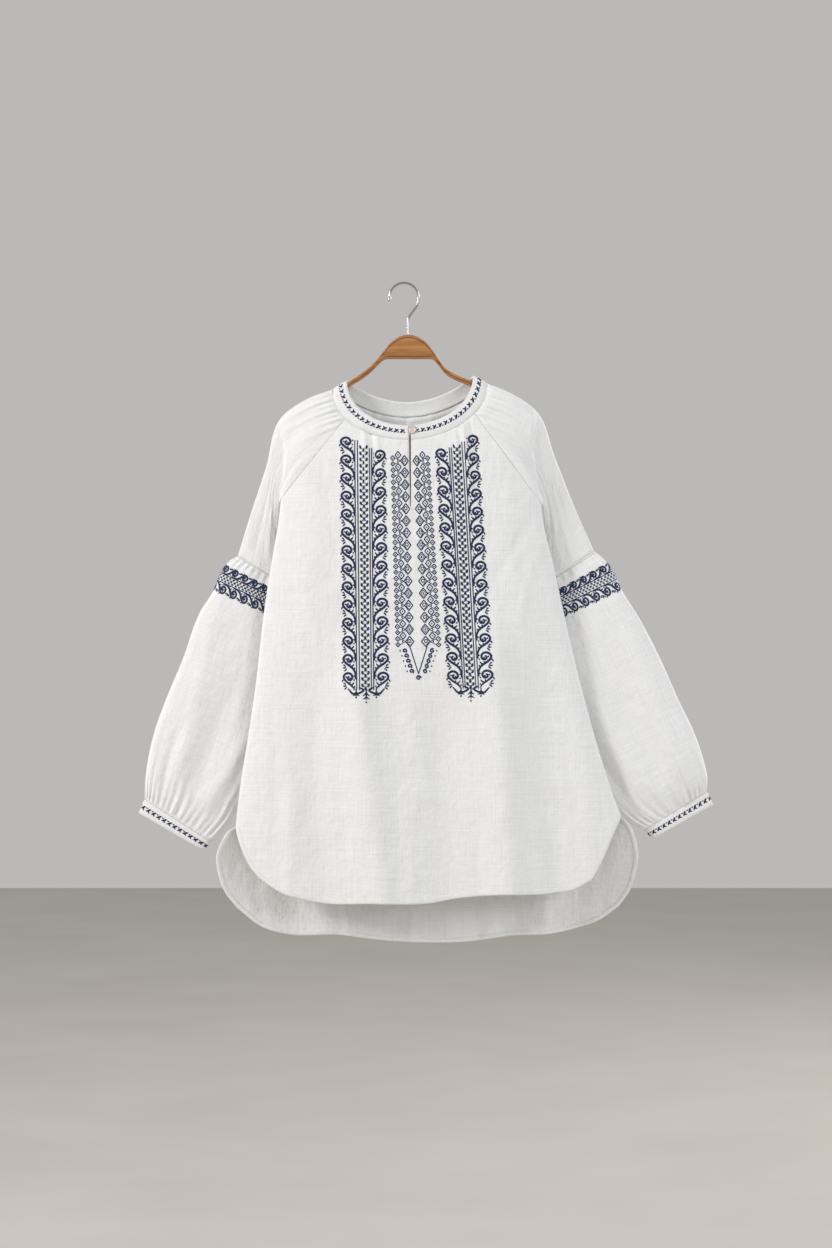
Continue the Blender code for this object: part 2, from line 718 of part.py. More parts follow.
def flatten_rows(places, normals, row):
    """Turn the normals of a ring into the ring's own plane, and return the ring's points."""
    ring_points = places[row]
    chord = ring_points[len(ring_points) // 2] - ring_points[0]
    axis = np.cross(chord, (0.0, 1.0, 0.0))
    axis /= np.linalg.norm(axis)
    flat = normals[row] - np.outer(normals[row] @ axis, axis)
    normals[row] = flat / np.linalg.norm(flat, axis=1)[:, None]
    return set(row)


def tube_object(name, grid, flip, wall, material):
    """Wall of a sleeve or cuff whose two ends are flat rings."""
    places, welded = weld({name: [(grid, True, flip, ())]})
    faces = welded[name]
    normals = point_normals(places, faces)
    count = grid.shape[1]
    first = list(range(count))
    last = list(range(len(places) - count, len(places)))
    seams = flatten_rows(places, normals, first) | flatten_rows(places, normals, last)
    wall_object(name, places, normals, faces, seams, wall, material)


def make_body(linen):
    """Panels, upper sleeves and neckband, welded along their seams and then given their walls."""
    left, right = slit_halves(panel_grid(False))
    band = neckband_grid()
    sleeves = {side: upper_sleeve_grid(side) for side in (-1, 1)}
    pieces = {
        "front_panel": [(left, False, True, ()), (right, False, True, ())],
        "back_panel": [(panel_grid(True), False, False, ())],
        "upper_sleeve_left": [(sleeves[-1], True, True, UNDERARM_OPENING)],
        "upper_sleeve_right": [(sleeves[1], True, False, UNDERARM_OPENING)],
        "neckband": [(band, False, True, ())],
    }
    places, welded = weld(pieces)
    normals = point_normals(places, [face for faces in welded.values() for face in faces])
    users = {}
    for name, faces in welded.items():
        for number in {n for face in faces for n in face}:
            users.setdefault(number, set()).add(name)
    seams = {number for number, names in users.items() if len(names) > 1}
    keys = {tuple(np.round(point, 2)): number for number, point in enumerate(places)}
    for side in (-1, 1):
        row = [keys[tuple(np.round(point, 2))] for point in sleeves[side][-1]]
        seams |= flatten_rows(places, normals, row)
    for name, faces in welded.items():
        wall = BAND_WALL if name == "neckband" else CLOTH_WALL
        wall_object(name, places, normals, faces, seams, wall, linen)


def make_button(material):
    """Round dished button that lies on the band, turned to the band's slope."""
    low = seam_point(1, BUTTON_TURN)
    x, z = neck_point(TOP_LOOP, 1, BUTTON_TURN)
    high = np.array((x, low[1] * BAND_LEAN, z))
    up = (high - low) / np.linalg.norm(high - low)
    out = np.cross((1.0, 0.0, 0.0), up)
    out *= -np.sign(out[1])
    seat = low + (high - low) * BUTTON_UP_BAND + out * (BAND_WALL / 2 + SEAM_GAP)
    profile = (
        (0.55, 0), (0.92, 0.12), (1.0, 0.45), (0.97, 0.8), (0.86, 1.0), (0.72, 0.92), (0.62, 0.68),
    )
    turns = 2 * math.pi * np.arange(BUTTON_SIDES) / BUTTON_SIDES
    sideways = np.cross(up, out)
    corners = []
    for radius, height in profile:
        for turn in turns:
            spoke = math.cos(turn) * sideways + math.sin(turn) * up
            corners.append(seat + spoke * radius * BUTTON_RADIUS + out * height * BUTTON_THICKNESS)
    faces = grid_quads(len(profile), BUTTON_SIDES, True, False)
    first = list(range(BUTTON_SIDES))
    last = [n + (len(profile) - 1) * BUTTON_SIDES for n in first]
    faces += [first[::-1], last]
    item = make_object("button", np.array(corners), faces, material)
    face_outwards(item)
    item.data.set_sharp_from_angle(angle=math.radians(40))


def face_outwards(item):
    shape = bmesh.new()
    shape.from_mesh(item.data)
    bmesh.ops.recalc_face_normals(shape, faces=shape.faces)
    shape.to_mesh(item.data)
    shape.free()


def hidden_arm(side):
    """Stations of a hanger arm under the shoulder, seated just under the cloth."""
    rows = []
    for place, seat, height, thickness in HIDDEN_ARM:
        row = station(UPPER_SLEEVE[side], place)
        top = row["outer_z"] - seat
        rows.append((row["outer_x"], top, top - height, thickness))
    return rows


def make_hanger(material):
    rows = hidden_arm(-1)[::-1] + list(HANGER_MIDDLE) + hidden_arm(1)
    turns = 2 * math.pi * (np.arange(HANGER_SIDES) + 0.5) / HANGER_SIDES
    corners = []
    for x, top, bottom, thickness in rows:
        for turn in turns:
            y = math.copysign(abs(math.cos(turn)) ** 0.6, math.cos(turn)) * thickness / 2
            z = math.copysign(abs(math.sin(turn)) ** 0.6, math.sin(turn)) * (top - bottom) / 2
            corners.append((x, y, (top + bottom) / 2 + z))
    faces = grid_quads(len(rows), HANGER_SIDES, True, False)
    first = list(range(HANGER_SIDES))
    last = [n + (len(rows) - 1) * HANGER_SIDES for n in first]
    faces += [first[::-1], last]
    item = make_object("hanger", np.array(corners), faces, material)
    face_outwards(item)
    item.data.set_sharp_from_angle(angle=math.radians(50))


def hook_route():
    """Centre line of the hook and the wire's relative thickness, from its tip to the head."""
    centre_line = HOOK_RADIUS + WIRE_RADIUS
    points = [(-centre_line, -HOOK_RADIUS + rise, size) for rise, size in HOOK_TIP]
    for k in range(1, HOOK_ARC_STEPS + 1):
        turn = math.pi * (1 - k / HOOK_ARC_STEPS)
        points.append((centre_line * math.cos(turn), centre_line * math.sin(turn) - HOOK_RADIUS, 1.0))
    points += [(x, z, 1.0) for x, z in HOOK_NECK]
    head_top = max(row[1] for row in HANGER_MIDDLE)
    points.append((HOOK_NECK[-1][0], head_top + SEAM_GAP, 1.0))
    return points


def make_hook(material):
    curve = bpy.data.curves.new("hanger_hook", "CURVE")
    curve.dimensions = "3D"
    curve.bevel_depth = WIRE_RADIUS * MM
    curve.bevel_resolution = 2
    curve.use_fill_caps = True
    spline = curve.splines.new("POLY")
    route = hook_route()
    spline.points.add(len(route) - 1)
    for point, (x, z, size) in zip(spline.points, route):
        point.co = (x * MM, 0, z * MM, 1)
        point.radius = size
    curve.materials.append(material)
    item = bpy.data.objects.new("hanger_hook", curve)
    bpy.context.scene.collection.objects.link(item)


def main():
    clear_scene()
    linen = make_material("linen", LINEN_COLOUR, 0.85)
    make_body(linen)
    for side, name in ((-1, "left"), (1, "right")):
        flip = side < 0
        tube_object("lower_sleeve_" + name, lower_sleeve_grid(side), flip, CLOTH_WALL, linen)
        tube_object("cuff_" + name, cuff_grid(side), flip, CUFF_WALL, linen)
    make_button(make_material("pearl", PEARL_COLOUR, 0.3))
    make_hanger(make_material("wood", WOOD_COLOUR, 0.45))
    make_hook(make_material("steel", STEEL_COLOUR, 0.3, 1.0))


main()
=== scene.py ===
"""Looks of an embroidered linen peasant blouse that hangs on a wooden hanger.

Tables are in millimetres, as in the part: the origin is the inside top of the
hanger's hook, +Z is up and the garment's front looks along -Y.
"""

import math

import bmesh
import bpy
import numpy as np
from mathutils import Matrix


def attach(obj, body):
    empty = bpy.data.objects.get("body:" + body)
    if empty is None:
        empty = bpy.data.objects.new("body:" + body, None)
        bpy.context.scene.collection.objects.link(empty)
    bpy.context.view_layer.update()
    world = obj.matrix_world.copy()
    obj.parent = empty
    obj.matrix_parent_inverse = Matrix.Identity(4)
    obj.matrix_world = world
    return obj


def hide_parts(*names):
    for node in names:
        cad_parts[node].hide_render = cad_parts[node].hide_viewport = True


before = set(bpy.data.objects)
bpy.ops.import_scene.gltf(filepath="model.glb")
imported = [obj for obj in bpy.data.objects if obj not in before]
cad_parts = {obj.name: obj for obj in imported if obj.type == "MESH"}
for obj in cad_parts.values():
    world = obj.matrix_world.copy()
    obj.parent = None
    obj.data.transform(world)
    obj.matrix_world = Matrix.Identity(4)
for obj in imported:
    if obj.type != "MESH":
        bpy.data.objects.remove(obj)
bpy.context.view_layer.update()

MM = 0.001
WELD_DISTANCE = 1e-6
FINE = 4
SEAM_DEPTH = 0.8
SEAM_WIDTH = 2.0
CLOTH_THICKNESS = 0.7
BAND_THICKNESS = 1.2
random = np.random.default_rng(17)

# Body sections from the shoulders down, as the part has them
# Columns: z, left, right, edge_y, front, back
BODY = (
    (-130, -184, 197, 0, 7, 11),
    (-200, -184, 197, -1, 16, 14),
    (-240, -180, 194, -3, 23, 16),
    (-312, -183, 203, -6, 25, 16),
    (-366, -189, 210, -7, 26, 17),
    (-411, -197, 221, -8, 26, 18),
    (-497, -210, 240, -8, 27, 20),
    (-594, -221, 263, -8, 28, 22),
    (-690, -235, 289, -8, 29, 24),
    (-760, -246, 311, -8, 30, 26),
    (-815, -252, 331, -8, 30, 26),
    (-1000, -268, 350, -8, 31, 26),
)
FRONT_ROUNDING = 0.48
BACK_ROUNDING = 0.75
TAIL_SETTLE = 8.0
TAIL_SETTLE_Z = (-815.0, 70.0)

# Folds and creases: a straight crest line, half width, height (a trough is below 0) and fade
# Columns: top_x, top_z, bottom_x, bottom_z, half_width, height, fade
FRONT_FOLDS = (
    (-78, -560, -30, -925, 28, 12, 150),
    (132, -500, 160, -925, 28, 12, 150),
    (-136, -600, -118, -925, 30, -8, 150),
    (55, -640, 72, -925, 36, -8, 150),
    (212, -560, 236, -925, 32, -8, 150),
    (-150, -250, -141, -480, 30, 4, 150),
    (150, -280, 176, -520, 24, 3, 150),
    (-61, -214, -54, -292, 3.8, 2.8, 36),
    (-50, -216, -44, -268, 3.0, -2.2, 26),
    (-40, -220, -38, -258, 2.8, 1.8, 22),
    (88, -212, 97, -294, 4.0, 2.9, 36),
    (99, -208, 110, -268, 3.0, -2.3, 28),
    (76, -220, 80, -260, 2.8, 1.9, 22),
    (-176, -336, -128, -408, 9, -1.9, 50),
    (-182, -366, -150, -470, 8, 1.6, 60),
    (196, -344, 150, -420, 9, -2.0, 50),
    (208, -380, 176, -486, 8, 1.7, 60),
    (-212, -560, -206, -700, 11, 2.0, 80),
    (-196, -640, -188, -830, 10, -2.2, 90),
    (262, -600, 280, -790, 12, 2.2, 80),
    (244, -690, 262, -860, 10, -2.2, 80),
    (-168, -760, -172, -905, 12, 2.4, 70),
    (-92, -800, -86, -925, 9, -2.0, 60),
    (8, -770, 12, -925, 13, 2.4, 80),
    (108, -800, 112, -915, 9, -2.1, 60),
    (196, -790, 204, -910, 11, 2.2, 60),
    (14, -600, 30, -760, 16, 1.6, 80),
    (-118, -640, -112, -770, 14, 1.6, 80),
)
BACK_FOLDS = (
    (-40, -560, -34, -990, 32, 8, 150),
    (160, -520, 161, -990, 30, 9, 150),
    (-150, -560, -168, -990, 34, 6, 150),
    (60, -560, 62, -990, 38, -7, 150),
    (238, -600, 266, -990, 30, 6, 150),
    (-70, -205, -88, -330, 6, 2.0, 60),
    (-40, -196, -52, -290, 5, -1.6, 50),
    (2, -196, -2, -330, 6, 1.8, 60),
    (40, -196, 50, -300, 5, -1.7, 50),
    (76, -204, 98, -340, 6, 2.0, 60),
    (-150, -330, -110, -470, 10, 2.0, 70),
    (172, -340, 130, -480, 10, -2.0, 70),
    (-92, -620, -104, -800, 12, 2.2, 90),
    (104, -640, 112, -830, 12, 2.2, 90),
    (-222, -880, -214, -960, 9, 2.0, 50),
    (-100, -890, -98, -979, 9, 2.2, 50),
    (12, -900, 14, -990, 8, -2.0, 50),
    (110, -905, 112, -988, 9, 2.2, 50),
    (212, -890, 214, -976, 9, -2.2, 50),
    (302, -860, 300, -940, 9, 2.0, 50),
)

UNDERARM_Z = {-1: -324.0, 1: -330.0}
VENT_Z = {-1: -814.5, 1: -797.5}
BACK_RAGLAN_BEND = {-1: (-134.0, -290.0), 1: (158.0, -292.0)}
FRONT_VENT = {
    -1: ((-247, -833), (-240, -852), (-229, -873), (-215, -889)),
    1: ((318, -812), (309, -832), (298, -858), (280, -891)),
}
BACK_VENT = {
    -1: ((-262, -819), (-273, -836), (-281, -857), (-279, -882), (-270, -910), (-250, -937)),
    1: ((340, -814), (347, -833), (351, -858), (347, -884), (338, -911), (322, -934)),
}
FRONT_HEM = (
    (-215, -889), (-183, -910), (-152, -920), (-119, -926), (-42, -925),
    (39, -925), (81, -918), (144, -912), (218, -911), (255, -905), (280, -891),
)
BACK_HEM = (
    (-250, -937), (-211, -967), (-183, -976), (-95, -979), (-31, -988), (39, -990),
    (102, -988), (159, -981), (235, -974), (262, -967), (290, -957), (322, -934),
)

# Neck
NECK_CENTRE_X = 9.0
NECK_TILT = 0.038
SEAM_LOOP = (116.0, -154.0, 81.0, 45.0)
TOP_LOOP = (94.5, -141.5, 72.0, 34.5)
# Turn round the neck at which the sleeve's head ends, on the front and on the back
HEAD_TURN = {False: math.radians(34), True: math.radians(45)}
SHOULDER_ROUNDING = 0.45
BAND_LEAN = 0.9
BAND_SMOOTHING = 13
SLIT_LENGTH = 100.0
SLIT_GAP = (3.6, 1.0)
SLIT_EASE = 9.0
SLIT_TURN_IN = 1.2
SLIT_STITCH_INSET = 1.6
SLIT_BAR_HALF = 2.4
BAND_CROWN = 0.9
BAND_SEAM_DIPS = (0.5, 0.45, 0, 0, 0, 0, 0, 0.45, 0)

# Sleeves
SLEEVE_COLUMNS = (
    "outer_x", "outer_z", "inner_x", "inner_z", "mid_y", "front_outer", "front_inner", "back",
)
UPPER_SLEEVE = {
    -1: (
        (-107, -158.4, -184.4, -324, 0, 11, 6, 11),
        (-144, -172, -186.6, -335, 1.5, 11, 7, 14),
        (-184, -200, -188.6, -358, 5.5, 11, 7, 14),
        (-208, -277, -189.5, -392, 12.5, 11, 7, 14),
        (-231, -346, -181, -425, 17, 11, 10, 13),
        (-250, -408, -170, -456, 17, 11, 11, 13),
    ),
    1: (
        (125, -149.6, 205.4, -330, 0, 11, 6, 11),
        (160, -164, 207.8, -341, 1.5, 11, 7, 14),
        (199, -191, 210.3, -364, 5.5, 11, 7, 14),
        (227, -260, 212.5, -397, 12.5, 11, 7, 14),
        (255, -331, 206, -430, 17, 11, 10, 13),
        (286, -401, 196, -461, 17, 11, 11, 13),
    ),
}
UPPER_STEPS = (0, 0.06, 0.12, 0.19, 0.28, 0.42, 0.6, 0.8, 1)
OVAL_REACH = 0.8
SEAM_HOLD = 0.5
SEAM_LEAVE_PLACES = (0, 0.06, 0.12, 0.19, 0.28, 0.42, 0.6, 1)
SEAM_LEAVE = (0, 9.3, 10.3, 10.0, 7.5, 3.9, 1.4, 0)
LEAVE_RISE = 8.0
LEAVE_END = (18.0, 2.4, 0.85)
HANGER_CLEAR_Z = (-260.0, -200.0)
DEPTH_REACH = (0.3, 0.14)
BACK_DEPTH_REACH = 0.07
SLEEVE_ROUNDING = 0.45
INNER_SHARPNESS = 0.1
RIDGE_WIDTH = 9.0
RIDGE_FADE = 14.0

PLEAT_SPREAD = 1.6
PLEAT_START = 0.035
# Pleats at the sleeve heads: steps from the neck side, half width in steps, height, length as a share
HEAD_PLEATS = (
    (0.9, 0.42, 3.4, 0.26), (2.3, 0.36, 4.0, 0.34), (3.7, 0.34, 3.0, 0.22), (5.0, 0.4, 4.4, 0.38),
    (6.3, 0.32, 3.0, 0.24), (7.5, 0.36, 3.6, 0.3), (8.9, 0.4, 2.4, 0.34),
)

LOWER_SLEEVE = {
    -1: (
        (-250, -408, -170, -456, 17, 11, 11, 13),
        (-262, -415, -164, -468, 17, 15, 12, 17),
        (-274, -430, -161, -484, 17, 18, 12, 19),
        (-286, -459, -163, -514, 17, 20, 12, 20),
        (-306, -491, -171, -556, 17, 21, 12, 21),
        (-333, -564, -186, -631, 17, 23, 12, 23),
        (-356, -619, -201, -691, 17, 24, 12, 24),
        (-373, -665, -219, -737, 17, 24, 13, 24),
        (-384, -711, -246, -782, 17, 22, 13, 22),
        (-389, -751, -266, -812, 17, 15, 10, 15),
        (-390, -774, -291, -838, 17, 6, 6, 6),
    ),
    1: (
        (286, -401, 196, -461, 17, 11, 11, 13),
        (299, -411, 192, -473, 17, 15, 12, 17),
        (312, -427, 191, -488, 17, 18, 12, 19),
        (327, -458, 196, -520, 17, 20, 12, 20),
        (354, -502, 207, -566, 17, 21, 12, 21),
        (386, -564, 228, -631, 17, 23, 12, 23),
        (413, -625, 254, -696, 17, 24, 12, 24),
        (436, -673, 284, -741, 17, 24, 13, 24),
        (450, -714, 316, -790, 17, 22, 13, 22),
        (456, -741, 339, -809, 17, 15, 10, 15),
        (455, -762, 362, -820, 17, 6, 6, 6),
    ),
}
CUFF_END = {-1: (-399, -795, -304, -850), 1: (465, -782, 376, -833)}
CUFF_DEPTH = 6.0
CUFF_WIDTH = 24.0
CUFF_CROWN = 0.7
CUFF_SEAM_SHARE = 0.6

# Main folds of the sleeves: from and to along the sleeve, from and to round it, half width, height
LOWER_FOLDS = {
    -1: (
        (0.1, 0.95, 0.12, 0.2, 0.035, 3.0), (0.3, 0.97, 0.26, 0.25, 0.03, -3.2),
        (0.45, 0.99, 0.36, 0.31, 0.026, 3.4), (0.55, 0.98, 0.16, 0.14, 0.022, -2.6),
        (0.12, 0.6, 0.33, 0.4, 0.03, -2.2), (0.2, 0.96, 0.62, 0.64, 0.035, 3.2),
        (0.35, 0.98, 0.74, 0.72, 0.03, -3.0), (0.3, 0.95, 0.86, 0.84, 0.03, 3.0),
    ),
    1: (
        (0.12, 0.95, 0.1, 0.17, 0.035, 3.2), (0.28, 0.98, 0.22, 0.24, 0.028, -3.2),
        (0.35, 0.96, 0.3, 0.31, 0.03, 3.6), (0.4, 0.9, 0.4, 0.37, 0.026, -3.0),
        (0.14, 0.55, 0.36, 0.42, 0.03, 2.0), (0.25, 0.96, 0.6, 0.63, 0.035, 3.0),
        (0.32, 0.98, 0.7, 0.73, 0.03, -3.2), (0.3, 0.95, 0.87, 0.83, 0.03, 3.0),
    ),
}
UPPER_FOLDS = {
    -1: (
        (0.3, 1.0, 0.3, 0.26, 0.03, 1.4), (0.4, 1.0, 0.2, 0.17, 0.025, -1.3),
        (0.35, 0.95, 0.68, 0.7, 0.03, 1.5),
    ),
    1: (
        (0.3, 1.0, 0.28, 0.26, 0.03, 1.5), (0.42, 1.0, 0.18, 0.15, 0.025, -1.4),
        (0.35, 0.95, 0.7, 0.72, 0.03, 1.5),
    ),
}
UPPER_FOLDS_FROM = 0.3
UPPER_FOLDS_FADE = 0.3
CUFF_GATHERS = 34
ELBOW_GATHERS = 30
GATHER_SPREAD = 1.2
GATHER_START = 0.02
GATHER_LEVEL = 0.7

# Embroidered band of each lower sleeve: from and to, down the outer edge from the elbow seam
SLEEVE_BAND = {-1: (23.0, 64.5), 1: (26.5, 71.4)}

# Hanger, where it shows: x, top, bottom, thickness
HANGER_MIDDLE = (
    (-107, -163.5, -171.5, 7), (-96, -156, -164, 7.5), (-82.6, -147, -155.5, 8),
    (-75.9, -142, -150.7, 8.5), (-62.5, -133.3, -142.7, 9), (-49, -122, -132, 10),
    (-38.4, -110.5, -121.5, 10.5), (-34, -105, -116.5, 11), (-29, -98.5, -113.3, 12),
    (-22, -89.5, -112.8, 12), (-15.6, -84, -112.8, 12), (-6, -78.6, -112.8, 12),
    (6, -76, -112.8, 12), (17, -77.8, -112.8, 12), (24.5, -81, -112.8, 12),
    (33, -87.5, -112.8, 12), (38, -93, -112.8, 12), (44.6, -101.5, -113.3, 12),
    (51.3, -112, -122, 10.5), (61.5, -126, -135, 10), (78, -136, -144.7, 9),
    (98, -144.5, -152.5, 8), (114, -152, -159.5, 7.5), (125, -157, -164.5, 7),
)
HANGER_STEP = 3.0
HANGER_ROUND = 40
HANGER_SQUARENESS = 0.55
GROOVE_FROM_TOP = 4.6
GROOVE_FROM_BOTTOM = 3.4
# Under the shoulders: place along the sleeve, drop below its outer edge, height, thickness
HIDDEN_ARM = ((0.1, 6.6, 7.0, 4.6), (0.15, 6.0, 6.5, 4.0), (0.2, 5.6, 6.0, 3.6))
WIRE_RADIUS = 1.75
HOOK_RADIUS = 20.0
# Points of the hook below its round part: x, z; then the tip's points: rise, size
HOOK_NECK = ((20.5, -28.5), (17.5, -35.5), (11.5, -43.5), (6.8, -50.5), (5.6, -58.0), (5.6, -76.0))
HOOK_TIP = ((-5.6, 1.4), (-3.8, 1.5), (-1.5, 1.55), (0.5, 1.0))

BUTTON_RADIUS = 5.7
BUTTON_TURN = math.radians(88)
BUTTON_UP_BAND = 0.66

# Camera and light
VIEW_CENTRE = (0.018, -0.51)
VIEW_HEIGHT = 1.872
VIEW_DISTANCE = 4.0
LONG_SIDE_SENSOR = 36.0
FLOOR_Z = -1.5
# Lights: name, place, target, size, energy, colour
LIGHTS = (
    ("key", (-3.3, -1.5, 0.9), (0.12, 0, -0.5), 1.1, 96, (1.0, 0.99, 0.98)),
    ("fill", (3.0, -2.0, 0.5), (0.018, 0, -0.51), 1.6, 50, (0.9, 0.95, 1.0)),
    ("back_light", (2.6, 1.9, 1.0), (0.018, 0, -0.51), 1.4, 45, (1.0, 0.98, 0.95)),
)


def smooth_step(value):
    value = np.clip(value, 0.0, 1.0)
    return value * value * (3.0 - 2.0 * value)


def rise_and_fall(rise, fall):
    return smooth_step(rise) * (1 - smooth_step(fall))


def table_curve(keys, values, at):
    """Smooth curve through a table's values, read at many places; keys rise."""
    keys = np.asarray(keys, float)
    values = np.asarray(values, float)
    slopes = np.gradient(values, keys, axis=0)
    at = np.clip(np.atleast_1d(np.asarray(at, float)), keys[0], keys[-1])
    k = np.clip(np.searchsorted(keys, at) - 1, 0, len(keys) - 2)
    span = keys[k + 1] - keys[k]
    f = (at - keys[k]) / span
    if values.ndim > 1:
        span = span[:, None]
        f = f[:, None]
    rise = f * f * (3 - 2 * f)
    start = values[k] * (1 - rise) + values[k + 1] * rise
    bend = slopes[k] * (f - 2 * f * f + f**3) + slopes[k + 1] * (f**3 - f * f)
    return start + bend * span


def reach_along(points):
    steps = np.linalg.norm(np.diff(points, axis=0), axis=1)
    return np.concatenate(([0.0], np.cumsum(steps)))


def read_path(points, reach, at):
    """Places or directions read along a path, straight from point to point."""
    return np.stack([np.interp(at, reach, points[:, c]) for c in range(3)], axis=1)


def along_path(points, fractions):
    points = np.asarray(points, float)
    reach = reach_along(points)
    return table_curve(reach, points, np.asarray(fractions) * reach[-1])


def smooth_line(points, per_span=5):
    """Points along a soft curve that goes through each given point."""
    points = np.asarray(points, float)
    places = np.linspace(0, len(points) - 1, (len(points) - 1) * per_span + 1)
    return table_curve(np.arange(len(points)), points, places)


BODY_TABLE = np.array(BODY[::-1], float)


def body_rows(z):
    z = np.asarray(z, float)
    values = table_curve(BODY_TABLE[:, 0], BODY_TABLE[:, 1:], z.ravel())
    return [values[:, k].reshape(z.shape) for k in range(5)]


def body_edge(side, z):
    return body_rows(z)[0 if side < 0 else 1]


def fold_height(folds, x, z):
    height = np.zeros(np.broadcast(x, z).shape)
    for top_x, top_z, bottom_x, bottom_z, half_width, rise, fade in folds:
        fraction = (top_z - z) / (top_z - bottom_z)
        crest = top_x + (bottom_x - top_x) * fraction
        window = rise_and_fall((top_z + fade / 2 - z) / fade, (bottom_z - z) / fade)
        height += rise * window * np.exp(-(((x - crest) / half_width) ** 2))
    return height


def across(x, left, right):
    return np.clip((2 * x - left - right) / (right - left), -1, 1)


def front_y(x, z):
    left, right, edge_y, front, _ = body_rows(z)
    t = across(x, left, right)
    swell = (1 - t * t) ** FRONT_ROUNDING
    return edge_y - front * swell - fold_height(FRONT_FOLDS, x, z) * (1 - t**4)


def back_edges(z):
    edges = []
    for side in (-1, 1):
        tail = [(float(body_edge(side, VENT_Z[side])), VENT_Z[side])] + list(BACK_VENT[side][:3])
        heights = [point[1] for point in tail][::-1]
        places = [point[0] for point in tail][::-1]
        edges.append(np.where(z > VENT_Z[side], body_edge(side, z), np.interp(z, heights, places)))
    return edges


def back_y(x, z):
    _, _, edge_y, _, back = body_rows(z)
    left, right = back_edges(z)
    t = across(x, left, right)
    swell = (1 - t * t) ** BACK_ROUNDING
    settle = TAIL_SETTLE * smooth_step((TAIL_SETTLE_Z[0] - z) / TAIL_SETTLE_Z[1])
    return edge_y + settle + back * swell + fold_height(BACK_FOLDS, x, z) * (1 - t**4)


def neck_point(loop, side, turn, back=False):
    half, side_z, front_drop, back_drop = loop
    x = NECK_CENTRE_X + side * half * np.cos(turn)
    drop = back_drop * np.sin(turn) ** 2 if back else front_drop * np.sin(turn)
    return x, side_z - drop + (x - NECK_CENTRE_X) * NECK_TILT


def body_y(back, x, z):
    return back_y(x, z) if back else front_y(x, z)


def seam_point(side, turn, back=False):
    head_turn = HEAD_TURN[back]
    x, z = neck_point(SEAM_LOOP, side, turn, back)
    if turn >= head_turn:
        return np.array((x, float(body_y(back, x, z)), z))
    at_head = float(body_y(back, *neck_point(SEAM_LOOP, side, head_turn, back)))
    return np.array((x, at_head * (np.sin(turn) / np.sin(head_turn)) ** SHOULDER_ROUNDING, z))


def underarm(side):
    return np.array((float(body_edge(side, UNDERARM_Z[side])), UNDERARM_Z[side]))


def raglan(side, back, count):
    f = np.linspace(0, 1, count + 1)[:, None]
    start = np.array(neck_point(SEAM_LOOP, side, HEAD_TURN[back], back))
    if not back:
        return start + (underarm(side) - start) * f
    return (1 - f) ** 2 * start + 2 * f * (1 - f) * np.array(BACK_RAGLAN_BEND[side]) + f * f * underarm(side)


# Counts of the finer grids
PANEL_COLUMNS = 132
RAGLAN_ROWS = 48
SIDE_ROWS = 72
VENT_ROWS = 20
HEAD_STEPS = 8
RAGLAN_STEPS = 12
HALF_RING = HEAD_STEPS + RAGLAN_STEPS
UPPER_ROWS = 72
LOWER_ROUND = 288
LOWER_ROWS = 110
CUFF_ROUND = 96
BAND_ROWS = 9
BAND_STITCH_ROWS = (1, 7)
BAND_MIDDLE_ROW = 4


def column_places():
    even = np.linspace(0, 1, PANEL_COLUMNS + 1)
    return 0.45 * even + 0.55 * (1 - np.cos(math.pi * even)) / 2


def panel_grid(back):
    """A body panel: its four edges are blended, then every point is set on the body's surface."""
    head_turn = HEAD_TURN[back]
    vents = BACK_VENT if back else FRONT_VENT
    sides = {}
    for side in (-1, 1):
        heights = np.linspace(UNDERARM_Z[side], VENT_Z[side], SIDE_ROWS + 1)[1:]
        seam = np.stack((body_edge(side, heights), heights), axis=1)
        chain = [(float(body_edge(side, VENT_Z[side])), VENT_Z[side])] + list(vents[side])
        vent = along_path(chain, np.linspace(0, 1, VENT_ROWS + 1)[1:])
        sides[side] = np.concatenate((raglan(side, back, RAGLAN_ROWS), seam, vent))[:, None]
    u = column_places()
    turns = head_turn + (math.pi / 2 - head_turn) * (1 - abs(2 * u - 1))
    sign = np.where(u < 0.5, -1, 1)
    top = np.stack(neck_point(SEAM_LOOP, sign, turns, back), axis=1)
    hem = along_path(BACK_HEM if back else FRONT_HEM, u)
    middle = (sides[-1][:, 0, 1] + sides[1][:, 0, 1]) / 2
    v = ((middle[0] - middle) / (middle[0] - middle[-1]))[:, None, None]
    u = u[:, None]
    edges = (1 - v) * top + v * hem + (1 - u) * sides[-1] + u * sides[1]
    corners = (1 - u) * ((1 - v) * top[0] + v * hem[0]) + u * ((1 - v) * top[-1] + v * hem[-1])
    x, z = np.moveaxis(edges - corners, 2, 0)
    return np.stack((x, body_y(back, x, z), z), axis=2)


def slit_foot(grid):
    middle = grid.shape[1] // 2
    return int(np.argmin(abs(grid[0, middle, 2] - grid[:, middle, 2] - SLIT_LENGTH)))


def slit_halves(grid):
    """The front is cut down its middle to the foot of the slit, and its edges drawn apart."""
    middle = grid.shape[1] // 2
    foot = slit_foot(grid)
    halves = []
    for side, part in ((-1, grid[:, : middle + 1].copy()), (1, grid[:, middle:].copy())):
        for j in range(foot):
            half = (SLIT_GAP[0] + (SLIT_GAP[1] - SLIT_GAP[0]) * j / foot) / 2
            away = abs(part[j, :, 0] - grid[j, middle, 0])
            share = np.clip(1 - away / SLIT_EASE, 0, 1)
            part[j, :, 0] += side * half * share
            part[j, :, 1] += SLIT_TURN_IN * share**2 * (1 - j / foot)
        halves.append(part)
    return halves


def seam_dip(distance):
    """Depth of the groove beside a seam."""
    return SEAM_DEPTH * np.exp(-((distance / SEAM_WIDTH) ** 2))


